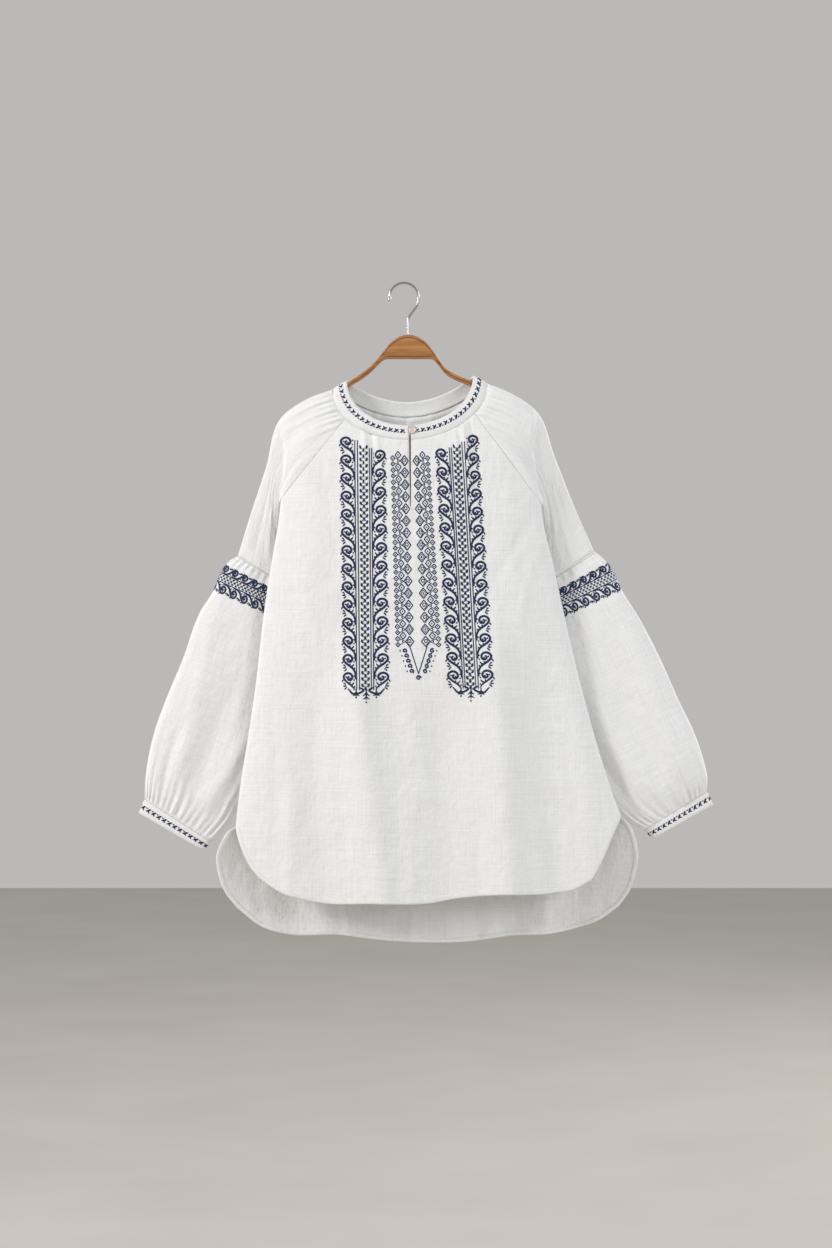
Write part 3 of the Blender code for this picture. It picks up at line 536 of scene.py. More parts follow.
def armhole_loop(side):
    steps = HEAD_STEPS * FINE
    halves = []
    for back in (False, True):
        head = [seam_point(side, HEAD_TURN[back] * k / steps, back) for k in range(steps)]
        x, z = raglan(side, back, RAGLAN_STEPS * FINE).T
        halves.append(np.concatenate((head, np.stack((x, body_y(back, x, z), z), axis=1))))
    return np.concatenate((halves[0], halves[1][-2:0:-1]))


def station(table, fraction):
    rows = np.array(table, float)
    reach = reach_along(rows[:, :2])
    return dict(zip(SLEEVE_COLUMNS, table_curve(reach, rows, fraction * reach[-1])[0]))


def oval_reach(count):
    return (1 - np.cos(2 * math.pi * np.arange(count) / count)) / 2


def ring(row, reach):
    turns = 2 * math.pi * np.arange(len(reach)) / len(reach)
    x = row["outer_x"] + (row["inner_x"] - row["outer_x"]) * reach
    z = row["outer_z"] + (row["inner_z"] - row["outer_z"]) * reach
    swell = abs(np.sin(turns)) ** (SLEEVE_ROUNDING + INNER_SHARPNESS * reach)
    front_depth = row["front_outer"] + (row["front_inner"] - row["front_outer"]) * reach
    y = row["mid_y"] + np.where(turns <= math.pi, -front_depth, row["back"]) * swell
    return np.stack((x, y, z), axis=1)


def on_body(side, x, z):
    inside = side * (body_edge(side, z) - x)
    above = z - UNDERARM_Z[side]
    return smooth_step(inside / RIDGE_WIDTH + 0.5) * smooth_step(above / RIDGE_FADE)


def lying_y(row, x, z):
    on_front = front_y(x, z)
    over_hanger = smooth_step((z - HANGER_CLEAR_Z[0]) / (HANGER_CLEAR_Z[1] - HANGER_CLEAR_Z[0]))
    return on_front + (np.minimum(on_front, -row["front_outer"]) - on_front) * over_hanger


def head_pleats(fraction, from_top):
    """Pleats that rise from the neck seam and die away over the shoulder, each to its own length."""
    height = np.zeros(len(from_top))
    for step, half_width, rise, length in HEAD_PLEATS:
        spread = half_width * (1 + PLEAT_SPREAD * fraction / length)
        window = rise_and_fall(fraction / PLEAT_START, fraction / length)
        height += rise * window * np.exp(-(((from_top - step) / spread) ** 2))
    return height * rise_and_fall((from_top - 0.2) / 0.6, (from_top - 9) / 2)


def round_bump(places, centre, half_width):
    """A bump across a closed ring whose places go from 0 to 1."""
    away = abs(places - centre)
    away = np.minimum(away, 1 - away)
    return np.exp(-((away / half_width) ** 2))


def ring_folds(folds, fraction, count):
    """Soft folds that run along a sleeve, as a height for each point of one ring."""
    places = np.arange(count) / count
    height = np.zeros(count)
    for from_along, to_along, from_round, to_round, half_width, rise in folds:
        share = (fraction - from_along) / (to_along - from_along)
        centre = from_round + (to_round - from_round) * share
        window = rise_and_fall(share / 0.45, (share - 0.8) / 0.2)
        height += rise * window * round_bump(places, centre, half_width)
    return height


def outward(points):
    """Unit vectors that point out of a ring, in the ring's own plane."""
    ahead = np.roll(points, -1, axis=0) - np.roll(points, 1, axis=0)
    axis = np.cross(points[len(points) // 2] - points[0], (0.0, 1.0, 0.0))
    out = np.cross(ahead, axis)
    out /= np.maximum(np.linalg.norm(out, axis=1), 1e-9)[:, None]
    away = np.einsum("ij,ij->i", out, points - points.mean(axis=0))
    return out * np.sign(away.sum())


def upper_sleeve_grid(side):
    """Rings leave the armhole seam and turn into the sleeve's flat ovals."""
    loop = armhole_loop(side)
    table = UPPER_SLEEVE[side]
    half = HALF_RING * FINE
    count = 2 * half
    chord = loop[half] - loop[0]
    chord[1] = 0
    loop_reach = np.clip((loop - loop[0]) @ chord / (chord @ chord), 0, 1)
    first = ring(station(table, 0), loop_reach)
    order = np.arange(count)
    from_top = np.minimum(order, count - order) / FINE
    swell = np.sin(from_top * math.pi / HALF_RING).clip(0) ** SLEEVE_ROUNDING
    low_share = smooth_step((from_top - HEAD_STEPS) / RAGLAN_STEPS)
    end_step, end_span, end_share = LEAVE_END
    leave = smooth_step((from_top - HEAD_STEPS) / LEAVE_RISE)
    leave *= 1 - end_share * smooth_step((from_top - end_step) / end_span)
    along = underarm(side) - np.array(neck_point(SEAM_LOOP, side, HEAD_TURN[False]))
    square = np.array((side * abs(along[1]), abs(along[0]))) / np.linalg.norm(along)
    low_reach = np.where(order > half, BACK_DEPTH_REACH, DEPTH_REACH[1])
    depth_reach = DEPTH_REACH[0] + (low_reach - DEPTH_REACH[0]) * low_share
    front = (order > 0) & (order < half)
    facing = np.where(order <= half, 1.0, -1.0) * (swell > 0.02)
    steps = range(len(UPPER_STEPS))
    fractions = np.interp(np.linspace(0, steps[-1], UPPER_ROWS + 1), steps, UPPER_STEPS)
    length = reach_along(np.array(table, float)[:, :2])[-1]
    rows = []
    for fraction in fractions:
        row = station(table, fraction)
        turned = smooth_step(fraction / OVAL_REACH)
        points = ring(row, loop_reach * (1 - turned) + oval_reach(count) * turned)
        points[:, ::2] += (1 - smooth_step(fraction / SEAM_HOLD)) * (loop - first)[:, ::2]
        points[:, ::2] += np.outer(leave, square) * table_curve(SEAM_LEAVE_PLACES, SEAM_LEAVE, fraction)[0]
        x, y, z = points.T
        lying = row["mid_y"] * (1 - swell) + lying_y(row, x, z) * swell
        points[:, 1] = y + np.where(front, (lying - y) * on_body(side, x, z), 0)
        points[:, 1] += (loop[:, 1] - points[:, 1]) * (1 - smooth_step(fraction / depth_reach))
        points[:, 1] -= facing * head_pleats(fraction, from_top)
        points[:, 1] += facing * seam_dip(fraction * length)
        folds_in = smooth_step((fraction - UPPER_FOLDS_FROM) / UPPER_FOLDS_FADE)
        height = ring_folds(UPPER_FOLDS[side], fraction, count) * folds_in
        rows.append(points + outward(points) * height[:, None])
    return np.array(rows)


def gather_table(count, heights, lengths, at_end):
    """Small gathers round a seam: spaced unevenly, each with its own width, height and length."""
    rows = []
    for k in range(count):
        place = (k + 0.5 + random.uniform(-0.28, 0.28)) / count
        half_width = random.uniform(0.24, 0.36) / count
        height = random.uniform(*heights)
        length = random.uniform(*lengths)
        rows.append((place, half_width, height, length, place + random.uniform(-0.4, 0.4) / count, at_end))
    return rows


def gather_height(rows, fraction, count):
    places = np.arange(count) / count
    height = np.zeros(count)
    for place, half_width, rise, length, far_place, at_end in rows:
        distance = 1 - fraction if at_end else fraction
        share = distance / length
        if share < 1:
            centre = place + (far_place - place) * share
            spread = half_width * (1 + GATHER_SPREAD * share)
            window = rise_and_fall(distance / GATHER_START, share)
            height += rise * window * round_bump(places, centre, spread)
    return height - height.mean() * GATHER_LEVEL


def lower_sleeve_grid(side):
    gathers = gather_table(CUFF_GATHERS, (2.0, 4.4), (0.12, 0.42), True)
    gathers += gather_table(ELBOW_GATHERS, (1.5, 3.0), (0.07, 0.17), False)
    edge = abs(np.sin(2 * math.pi * np.arange(LOWER_ROUND) / LOWER_ROUND)) ** 0.5
    even = np.linspace(0, 1, LOWER_ROWS + 1)
    fractions = 0.55 * even + 0.45 * (1 - np.cos(math.pi * even)) / 2
    rows = []
    for fraction in fractions:
        points = ring(station(LOWER_SLEEVE[side], fraction), oval_reach(LOWER_ROUND))
        height = gather_height(gathers, fraction, LOWER_ROUND)
        height += ring_folds(LOWER_FOLDS[side], fraction, LOWER_ROUND)
        rows.append(points + outward(points) * (height * edge)[:, None])
    return np.array(rows), fractions


def cuff_grid(side):
    top = dict(zip(SLEEVE_COLUMNS, LOWER_SLEEVE[side][-1]))
    end = dict(top, **dict(zip(SLEEVE_COLUMNS, CUFF_END[side])))
    rows = []
    for fraction in np.linspace(0, 1, BAND_ROWS):
        row = {name: top[name] + (end[name] - top[name]) * fraction for name in SLEEVE_COLUMNS}
        row.update(front_outer=CUFF_DEPTH, front_inner=CUFF_DEPTH, back=CUFF_DEPTH)
        points = ring(row, oval_reach(CUFF_ROUND))
        crown = CUFF_CROWN * math.sin(math.pi * fraction) - seam_dip(fraction * CUFF_WIDTH) * CUFF_SEAM_SHARE
        rows.append(points + outward(points) * crown)
    return np.array(rows)


def neckband_grid():
    """Band from the neck seam to its top edge, open at the middle of the front, a little crowned."""
    half = PANEL_COLUMNS // 2
    shares = 1 - abs(2 * column_places()[: half + 1] - 1)
    heads = np.arange(HEAD_STEPS * FINE) / (HEAD_STEPS * FINE)
    turns = []
    for back in (False, True):
        turn = HEAD_TURN[back]
        whole = np.concatenate((turn * heads, turn + (math.pi / 2 - turn) * shares))
        turns += [(t, back) for t in (whole[1:] if back else whole[::-1])]
    places = [(-1, t, back) for t, back in turns] + [(1, t, back) for t, back in turns[-2::-1]]
    columns = []
    for side, turn, back in places:
        low = seam_point(side, turn, back)
        x, z = neck_point(TOP_LOOP, side, turn, back)
        high = np.array((x, low[1] * BAND_LEAN, z))
        if not back:
            for point in (low, high):
                away = abs(point[0] - NECK_CENTRE_X)
                point[0] += side * SLIT_GAP[0] / 2 * max(0.0, 1 - away / SLIT_EASE)
        columns.append([low + (high - low) * f for f in np.linspace(0, 1, BAND_ROWS)])
    grid = np.array(columns).transpose(1, 0, 2)
    spread = np.ones(BAND_SMOOTHING) / BAND_SMOOTHING
    edge = BAND_SMOOTHING // 2
    for row in grid:
        row[edge:-edge, 1] = np.convolve(row[:, 1], spread, "valid")
    crown = BAND_CROWN * np.sin(np.linspace(0, math.pi, BAND_ROWS)) - np.array(BAND_SEAM_DIPS)
    return grid + grid_normals(grid) * crown[:, None, None]


def grid_normals(grid):
    """Unit normals of a grid of points, pointing away from each row's middle."""
    across_rows = np.gradient(grid, axis=1)
    along_rows = np.gradient(grid, axis=0)
    normals = np.cross(across_rows, along_rows)
    normals /= np.maximum(np.linalg.norm(normals, axis=2), 1e-9)[..., None]
    away = grid - grid.mean(axis=1)[:, None]
    return normals * np.sign(np.einsum("ijk,ijk->", normals, away))


def closed_normals(grid):
    """Normals of a grid whose last column repeats its first."""
    wide = np.concatenate((grid[:, -2:-1], grid, grid[:, 1:2]), axis=1)
    return grid_normals(wide)[:, 1:-1]


def faces_out(grid, reference):
    """The grid with its columns in the order that makes its faces look along the reference."""
    normals = np.cross(np.gradient(grid, axis=1), np.gradient(grid, axis=0))
    return grid if np.einsum("ijk,ijk->", normals, reference) > 0 else grid[:, ::-1]


def close_ring(grid):
    """The grid with its first column repeated at the end, its faces looking outwards."""
    closed = np.concatenate((grid, grid[:, :1]), axis=1)
    return faces_out(closed, closed - closed.mean(axis=1)[:, None])


def lay_grid(shape, grid, places=None):
    """A Blender grid whose vertices are moved onto the points of an array."""
    rows, columns = grid.shape[:2]
    made = bmesh.ops.create_grid(shape, x_segments=columns - 1, y_segments=rows - 1, size=1)["verts"]
    flat = grid.reshape(-1, 3) * MM
    for vertex, point in zip(made, flat):
        vertex.co = point
    if places is not None:
        layer = shape.loops.layers.uv.verify()
        uv = places.reshape(-1, 2)
        for number, vertex in enumerate(made):
            for loop in vertex.link_loops:
                loop[layer].uv = uv[number]
    return made


def add_object(name, data):
    item = bpy.data.objects.new(name, data)
    bpy.context.scene.collection.objects.link(item)
    return item


def finish_piece(name, shape, material, nodes=(), sharp=None):
    mesh = bpy.data.meshes.new(name)
    shape.to_mesh(mesh)
    shape.free()
    mesh.materials.append(material)
    mesh.shade_smooth()
    if sharp is not None:
        mesh.set_sharp_from_angle(angle=math.radians(sharp))
    item = add_object(name, mesh)
    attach(item, "root")
    if nodes:
        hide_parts(*nodes)
    return item


def thicken(item, thickness):
    modifier = item.modifiers.new("cloth_thickness", "SOLIDIFY")
    modifier.thickness = thickness * MM
    modifier.offset = 0


def cloth_places(grid):
    """Places on the cloth in metres: along the columns and down the rows of a grid."""
    sideways = np.linalg.norm(np.diff(grid, axis=1), axis=2).mean(axis=0)
    down = np.linalg.norm(np.diff(grid, axis=0), axis=2).mean(axis=1)
    u = np.concatenate(([0], np.cumsum(sideways)))
    v = np.concatenate(([0], np.cumsum(down)))
    return np.stack(np.meshgrid(u, v), axis=2) * MM


def close_solid(shape):
    bmesh.ops.remove_doubles(shape, verts=shape.verts[:], dist=WELD_DISTANCE)
    bmesh.ops.holes_fill(shape, edges=shape.edges[:], sides=50)
    bmesh.ops.recalc_face_normals(shape, faces=shape.faces[:])


def make_tube(name, grid, thickness, material, nodes):
    closed = close_ring(grid)
    shape = bmesh.new()
    lay_grid(shape, closed, cloth_places(closed))
    bmesh.ops.remove_doubles(shape, verts=shape.verts[:], dist=WELD_DISTANCE)
    item = finish_piece(name, shape, material, nodes)
    thicken(item, thickness)
    return item


# Stitches and threads: each is a low ribbon laid on the cloth, highest along its middle
THREAD_PROFILE = ((-1.0, -0.1), (-0.5, 0.85), (0.5, 0.85), (1.0, -0.1))
THREAD_LIFT = 0.12
STITCH_RISE = 0.35
THREAD_TWIST = 420.0
# Stitch, gap and width of the fine rows on the neckband and cuffs
FINE_STITCH = (1.9, 1.2, 0.28)


def lay_stroke(shape, points, normals, widths, lift, rise):
    """One stroke of thread: a ribbon along the points, as wide as each place's width each way."""
    tangents = np.gradient(points, axis=0)
    tangents /= np.maximum(np.linalg.norm(tangents, axis=1), 1e-9)[:, None]
    sideways = np.cross(tangents, normals)
    grid = np.zeros((len(points), len(THREAD_PROFILE), 3))
    for k, (a, h) in enumerate(THREAD_PROFILE):
        grid[:, k] = points + sideways * (widths * a)[:, None]
        grid[:, k] += normals * (lift + h * rise * np.minimum(1, widths * 1.6))[:, None]
    lay_grid(shape, grid)


def tapered(count, width, tip):
    f = np.linspace(0, 1, count)
    return width * np.minimum(1, tip + (1 - tip) * 1.6 * np.sin(math.pi * f))


def lay_design(shape, strokes, place, lift=CLOTH_THICKNESS / 2 + THREAD_LIFT, rise=0.42):
    """Strokes of a design, given across and along a strip, laid on the cloth through place()."""
    for line, width, tip in strokes:
        points, normals = place(line[:, 0], line[:, 1])
        lay_stroke(shape, points, normals, tapered(len(line), width, tip), lift, rise)


def front_strip(left_top, right_top, left_bottom, right_bottom, top_z, bottom_z, pitch):
    """Places on the front, from 0 to 1 across a leaning strip and in repeats down it."""
    def place(a, d):
        z = top_z - d * pitch
        f = (top_z - z) / (top_z - bottom_z)
        left = left_top + (left_bottom - left_top) * f
        right = right_top + (right_bottom - right_top) * f
        x = left + (right - left) * a
        return on_front(x, z)
    return place


def on_front(x, z):
    slope_x = (front_y(x + 1.5, z) - front_y(x - 1.5, z)) / 3
    slope_z = (front_y(x, z + 1.5) - front_y(x, z - 1.5)) / 3
    normals = np.stack((slope_x, -np.ones_like(x), slope_z), axis=1)
    normals /= np.linalg.norm(normals, axis=1)[:, None]
    return np.stack((x, front_y(x, z), z), axis=1), normals


def grid_strip(grid, normals, row_from, row_to, first_column, columns_each):
    """Places on a grid of cloth, from 0 to 1 down its rows and in repeats along its columns."""
    rows, columns = grid.shape[:2]

    def read(table, row, column):
        j = np.clip(np.floor(row).astype(int), 0, rows - 2)
        i = np.clip(np.floor(column).astype(int), 0, columns - 2)
        fj = (row - j)[:, None]
        fi = (column - i)[:, None]
        low = table[j, i] * (1 - fi) + table[j, i + 1] * fi
        high = table[j + 1, i] * (1 - fi) + table[j + 1, i + 1] * fi
        return low * (1 - fj) + high * fj

    def place(a, d):
        row = row_from + (row_to - row_from) * a
        column = np.clip(first_column + d * columns_each, 0, columns - 1)
        return read(grid, row, column), read(normals, row, column)
    return place


def part_strip(place, low, high, shift=0.0, stretch=1.0):
    """A narrower strip inside another, from low to high across it."""
    def inner(a, d):
        return place(low + (high - low) * a, shift + d * stretch)
    return inner


# The running scroll, one repeat long: 0 across is its curling edge and 1 its straight edge
SCROLL_STEM = (
    (1.0, 1.34), (0.98, 1.02), (0.78, 0.74), (0.36, 0.52), (0.07, 0.31), (0.08, 0.12), (0.34, 0.0),
    (0.64, 0.06), (0.74, 0.24), (0.6, 0.38), (0.4, 0.34), (0.38, 0.22), (0.5, 0.19),
)
SCROLL_SPRIGS = (
    ((0.2, 0.66), (0.1, 0.56), (0.0, 0.55)), ((0.26, 0.7), (0.1, 0.72), (-0.02, 0.7)),
    ((0.3, 0.76), (0.18, 0.84), (0.1, 0.9)), ((0.6, 0.66), (0.78, 0.6), (0.88, 0.5)),
    ((0.66, 0.72), (0.84, 0.8), (0.93, 0.94)), ((0.05, 0.36), (-0.05, 0.41), (-0.08, 0.49)),
)
SCROLL_BUDS = ((0.88, 0.38), (0.8, 0.58), (0.56, 0.52), (0.9, 0.16), (0.56, 0.28), (0.92, 0.74), (0.24, 0.22))


def bud(a, d, half_long, width, lean=0.0, tip=0.3):
    """A small filled leaf of thread."""
    line = np.array(((a - lean, d - half_long), (a, d), (a + lean, d + half_long)))
    return line, width, tip


def scroll(repeats, weight=1.0):
    strokes = []
    for k in range(repeats):
        shift = np.array((0, k))
        stem = smooth_line(SCROLL_STEM, 3)
        if k == repeats - 1:
            stem = smooth_line(SCROLL_STEM[2:], 3)
        strokes.append((stem + shift, 1.8 * weight, 0.7))
        for sprig in SCROLL_SPRIGS:
            strokes.append((np.array(sprig) + shift, 1.3 * weight, 0.5))
        for a, d in SCROLL_BUDS:
            strokes.append(bud(a, d + k, 0.05, 1.4 * weight))
    return strokes


def lattice(repeats, per_repeat=3, weight=1.0):
    """Filled leaves in three columns, each column half a step from the next."""
    strokes = []
    step = 1 / per_repeat
    for k in range(repeats * per_repeat):
        d = (k + 0.25) * step
        for a, lean in ((0.14, 0.05), (0.86, -0.05)):
            strokes.append(bud(a, d, 0.3 * step, 2.0 * weight, lean, 0.4))
        strokes.append(bud(0.5, d + 0.5 * step, 0.32 * step, 2.2 * weight, tip=0.35))
        for a in (0.32, 0.68):
            for start, end in ((0.1, 0.32), (0.66, 0.88)):
                tick = np.array(((a, d + start * step), (a, d + end * step)))
                strokes.append((tick, 0.9 * weight, 0.6))
    return strokes


def straight(a, start, end, width=0.85):
    count = max(3, int((end - start) * 8))
    return np.stack((np.full(count, a), np.linspace(start, end, count)), axis=1), width, 0.9


def diamond(a, d, half_a, half_d, width):
    corners = ((0, -1), (1, 0), (0, 1), (-1, 0), (0, -1))
    line = np.array([(a + x * half_a, d + y * half_d) for x, y in corners])
    return [(line[k : k + 2], width, 0.9) for k in range(4)]


def curl(a, d, half_a, half_d, turns, width, start=0.0):
    """A spiral that winds in towards its middle."""
    f = np.linspace(0, 1, int(10 * turns) + 1)
    angle = start + 2 * math.pi * turns * f
    size = 1 - 0.82 * f
    line = np.stack((a + half_a * size * np.cos(angle), d + half_d * size * np.sin(angle)), axis=1)
    return line, width, 0.8


def string(repeats):
    """Linked diamonds: 0 across is the outer column of small ones, 1 the inner column of large ones."""
    strokes = []
    for k in range(repeats):
        strokes += diamond(0.78, k + 0.5, 0.22, 0.44, 1.0)
        if k % 3 == 2:
            strokes.append(bud(0.78, k + 0.5, 0.1, 1.3))
            strokes += diamond(0.78, k + 0.5, 0.13, 0.26, 0.5)
        else:
            strokes.append(curl(0.78, k + 0.5, 0.13, 0.27, 1.3, 0.7, math.pi * 0.5))
        strokes += diamond(0.43, k + 0.02, 0.16, 0.3, 0.95)
        strokes.append(bud(0.43, k + 0.02, 0.07, 1.2))
        for d, size in ((0.28, 1.0), (0.76, 0.9)):
            strokes += diamond(0.14, k + d, 0.13 * size, 0.21 * size, 0.9)
            strokes.append(bud(0.14, k + d, 0.05, 1.3))
        for start, end in (((0.57, 0.5), (0.26, 0.28)), ((0.57, 0.5), (0.26, 0.76))):
            strokes.append((np.array((start, end)) + (0, k), 0.65, 0.9))
        strokes.append(bud(0.4, k + 0.5, 0.08, 1.2))
    return strokes


def leaf_chain(repeats):
    """The narrow chain of the neckband and cuffs: slanting leaves with a tick between."""
    strokes = []
    for k in range(repeats):
        strokes.append((smooth_line(((0.1, k + 0.02), (0.42, k + 0.28), (0.86, k + 0.7)), 2), 1.6, 0.3))
        strokes.append((smooth_line(((0.95, k + 0.06), (0.72, k + 0.24), (0.5, k + 0.4)), 2), 1.1, 0.4))
        strokes.append((np.array(((0.12, k + 0.5), (0.3, k + 0.7), (0.16, k + 0.88))), 1.0, 0.4))
    return strokes


def foot_sprigs(centre, long):
    """A small hanging sprig that finishes the foot of an embroidered panel."""
    strokes = [(np.array(((centre, -0.3), (centre, 0.3 * long), (centre, 0.8 * long))), 1.2, 0.6)]
    for lean in (-1, 1):
        near = centre + lean * 0.03
        far = centre + lean * 0.075
        upper = np.array(((centre, 0.05), (near, 0.3 * long), (far, 0.42 * long)))
        lower = np.array(((centre, 0.45 * long), (near, 0.62 * long), (far, 0.72 * long)))
        strokes += [(upper, 1.1, 0.45), (lower, 1.0, 0.45)]
    strokes.append(bud(centre, long, 0.12, 1.5))
    return strokes


SCROLL_PITCH = 27.0
SLEEVE_PITCH = 17.5
SLEEVE_WEIGHT = 0.85
STRING_PITCH = 17.7
CHAIN_PITCH = 9.2
FOOT_DEPTH = 12.0
STRING_TIP = (21.8, -584.0)
STRING_RISE = 0.3
# Strips of each front panel: kind, curl and stem edge at the top, at the foot, top_z, bottom_z
LEFT_STRIPS = (
    ("scroll", -94.8, -74.5, -89.7, -71.5, -232, -610),
    ("lines", -73.4, -69.4, -70.0, -65.8, -236, -608),
    ("lattice", -66.8, -53.8, -63.2, -50.6, -244, -608),
    ("lines", -51.6, -48.4, -48.4, -44.8, -248, -608),
    ("scroll", -28.0, -47.0, -22.0, -43.4, -252, -610),
)
RIGHT_STRIPS = (
    ("scroll", 47.3, 66.0, 66.0, 87.0, -250, -608),
    ("lines", 67.4, 70.6, 88.2, 91.4, -247, -606),
    ("lattice", 72.6, 84.6, 93.2, 105.6, -243, -606),
    ("lines", 86.4, 90.2, 107.2, 111.0, -238, -606),
    ("scroll", 109.8, 91.6, 133.6, 112.4, -229, -606),
)
STRING_STRIPS = (
    (-20.4, 6.4, -12.6, 15.0, -258, -545),
    (38.4, 13.2, 56.0, 26.6, -258, -545),
)


def embroider_panel(name, strips, thread):
    shape = bmesh.new()
    for kind, curl_top, stem_top, curl_bottom, stem_bottom, top_z, bottom_z in strips:
        repeats = round((top_z - bottom_z) / SCROLL_PITCH)
        pitch = (top_z - bottom_z) / repeats
        place = front_strip(curl_top, stem_top, curl_bottom, stem_bottom, top_z, bottom_z, pitch)
        if kind == "scroll":
            lay_design(shape, scroll(repeats), place)
        elif kind == "lattice":
            lay_design(shape, lattice(repeats), place)
        else:
            lay_design(shape, [straight(0, 0, repeats), straight(1, 0, repeats)], place)
    curl_left = strips[0][3]
    curl_right = strips[-1][3]
    foot = min(strip[6] for strip in strips)
    edges = (curl_left, curl_right, curl_left, curl_right)
    foot_place = front_strip(*edges, foot, foot - FOOT_DEPTH, FOOT_DEPTH)
    strokes = foot_sprigs(0.28, 0.75) + foot_sprigs(0.5, 1.35) + foot_sprigs(0.72, 0.75)
    for a, b in ((0.1, 0.44), (0.9, 0.56)):
        line = smooth_line(((a, -0.35), (a * 0.6 + b * 0.4, 0.35), (b, -0.1), (a * 0.3 + b * 0.7, -0.5)), 4)
        strokes.append((line, 1.6, 0.6))
    lay_design(shape, strokes, foot_place)
    return finish_piece(name, shape, thread)


def embroider_strings(thread):
    shape = bmesh.new()
    for left_top, right_top, left_bottom, right_bottom, top_z, bottom_z in STRING_STRIPS:
        repeats = round((top_z - bottom_z) / STRING_PITCH)
        pitch = (top_z - bottom_z) / repeats
        place = front_strip(left_top, right_top, left_bottom, right_bottom, top_z, bottom_z, pitch)
        lay_design(shape, string(repeats), place, rise=STRING_RISE)
    tip_x, tip_z = STRING_TIP
    strokes = []
    for side, x in ((-1, 8.6), (1, 34.6)):
        strokes.append((np.array(((x, -543.0), STRING_TIP)), 0.9, 0.9))
        for f in (0.02, 0.22, 0.42, 0.62, 0.82):
            a = x + (tip_x - x) * f + side * 8
            z = -549 - 38 * f
            strokes.append(curl(a, z, 3.6, 3.6, 1.2, 1.2, side))
            strokes.append(bud(a + side * 6.5, z, 1.5, 1.2))
    strokes.append(curl(tip_x, tip_z - 6, 3.8, 3.8, 1.4, 1.1))
    lay_design(shape, strokes, on_front, rise=STRING_RISE)
    return finish_piece("front_embroidery_middle", shape, thread)


def dashes(shape, points, normals, lift, stitch=2.3, gap=1.3, width=0.34):
    """A row of small stitches along a path of points."""
    reach = reach_along(points)
    count = int(reach[-1] / (stitch + gap))
    for k in range(count):
        at = k * (stitch + gap) + np.array((0, 0.5, 1)) * stitch
        facing = read_path(normals, reach, at)
        lay_stroke(shape, read_path(points, reach, at), facing, tapered(3, width, 0.6), lift, STITCH_RISE)


HEM_WIDTH = 6.6
HEM_SPACING = 3.2
HEM_PUCKER = 0.22
HEM_STITCH_INSET = 1.2
HEM_STITCH_LIFTS = (0.62, 0.9)
HEM_PROFILE = (
    (HEM_WIDTH + 0.3, 0.3), (HEM_WIDTH - 0.2, 0.55), (3.0, 0.72), (0.4, 0.6), (-0.5, 0.0),
    (0.4, -0.62), (3.0, -0.95), (HEM_WIDTH - 0.2, -0.8), (HEM_WIDTH + 0.3, -0.3),
)


def hem_path(grid):
    """The panel's free edge, from one vent down round the tail and up to the other vent."""
    start = RAGLAN_ROWS + SIDE_ROWS
    return np.concatenate((grid[start:, 0], grid[-1, 1:-1], grid[start:, -1][::-1]))


def make_hem(name, grid, back, material, stitch_material):
    """Narrow turned hem round a tail, with its row of stitches on both sides."""
    edge = hem_path(grid)
    reach = reach_along(edge)
    spacing = np.linspace(0, 1, int(reach[-1] / HEM_SPACING))
    edge = read_path(edge, reach, spacing * reach[-1])
    ahead = np.gradient(edge[:, ::2], axis=0)
    ahead /= np.linalg.norm(ahead, axis=1)[:, None]
    inward = np.stack((-ahead[:, 1], ahead[:, 0]), axis=1)
    middle = edge[:, ::2].mean(axis=0)
    if np.einsum("ij,ij->", inward, middle - edge[:, ::2]) < 0:
        inward = -inward
    pucker = 1 + HEM_PUCKER * np.sin(np.arange(len(edge)) * 1.7) + random.uniform(-0.15, 0.15, len(edge))
    outside = 1.0 if back else -1.0
    rows = []
    for distance, lift in HEM_PROFILE:
        x, z = (edge[:, ::2] + inward * distance).T
        y = body_y(back, x, z) + outside * lift * pucker
        rows.append(np.stack((x, y, z), axis=1))
    shape = bmesh.new()
    lay_grid(shape, np.array(rows), cloth_places(np.array(rows)))
    bmesh.ops.recalc_face_normals(shape, faces=shape.faces[:])
    hem = finish_piece(name, shape, material)
    stitches = bmesh.new()
    x, z = (edge[:, ::2] + inward * (HEM_WIDTH - HEM_STITCH_INSET)).T
    line = np.stack((x, body_y(back, x, z), z), axis=1)
    normals = np.tile((0.0, outside, 0.0), (len(line), 1))
    dashes(stitches, line, normals, HEM_STITCH_LIFTS[0])
    dashes(stitches, line, -normals, HEM_STITCH_LIFTS[1])
    sewing = finish_piece(name + "_stitches", stitches, stitch_material)
    return [hem, sewing]


def shader_group(name, inputs, outputs):
    group = bpy.data.node_groups.new(name, "ShaderNodeTree")
    for title, kind, value in inputs:
        socket = group.interface.new_socket(title, in_out="INPUT", socket_type=kind)
        if value is not None:
            socket.default_value = value
    for title, kind in outputs:
        group.interface.new_socket(title, in_out="OUTPUT", socket_type=kind)
    return group, group.nodes.new("NodeGroupInput"), group.nodes.new("NodeGroupOutput")


def add_math(tree, operation, first, second):
    node = tree.nodes.new("ShaderNodeMath")
    node.operation = operation
    for socket, value in zip(node.inputs, (first, second)):
        if isinstance(value, (int, float)):
            socket.default_value = value
        else:
            tree.links.new(value, socket)
    return node.outputs[0]


def add_sum(tree, *parts):
    """Sum of masks, each with its share."""
    total = None
    for socket, share in parts:
        part = add_math(tree, "MULTIPLY", socket, share)
        total = part if total is None else add_math(tree, "ADD", total, part)
    return total


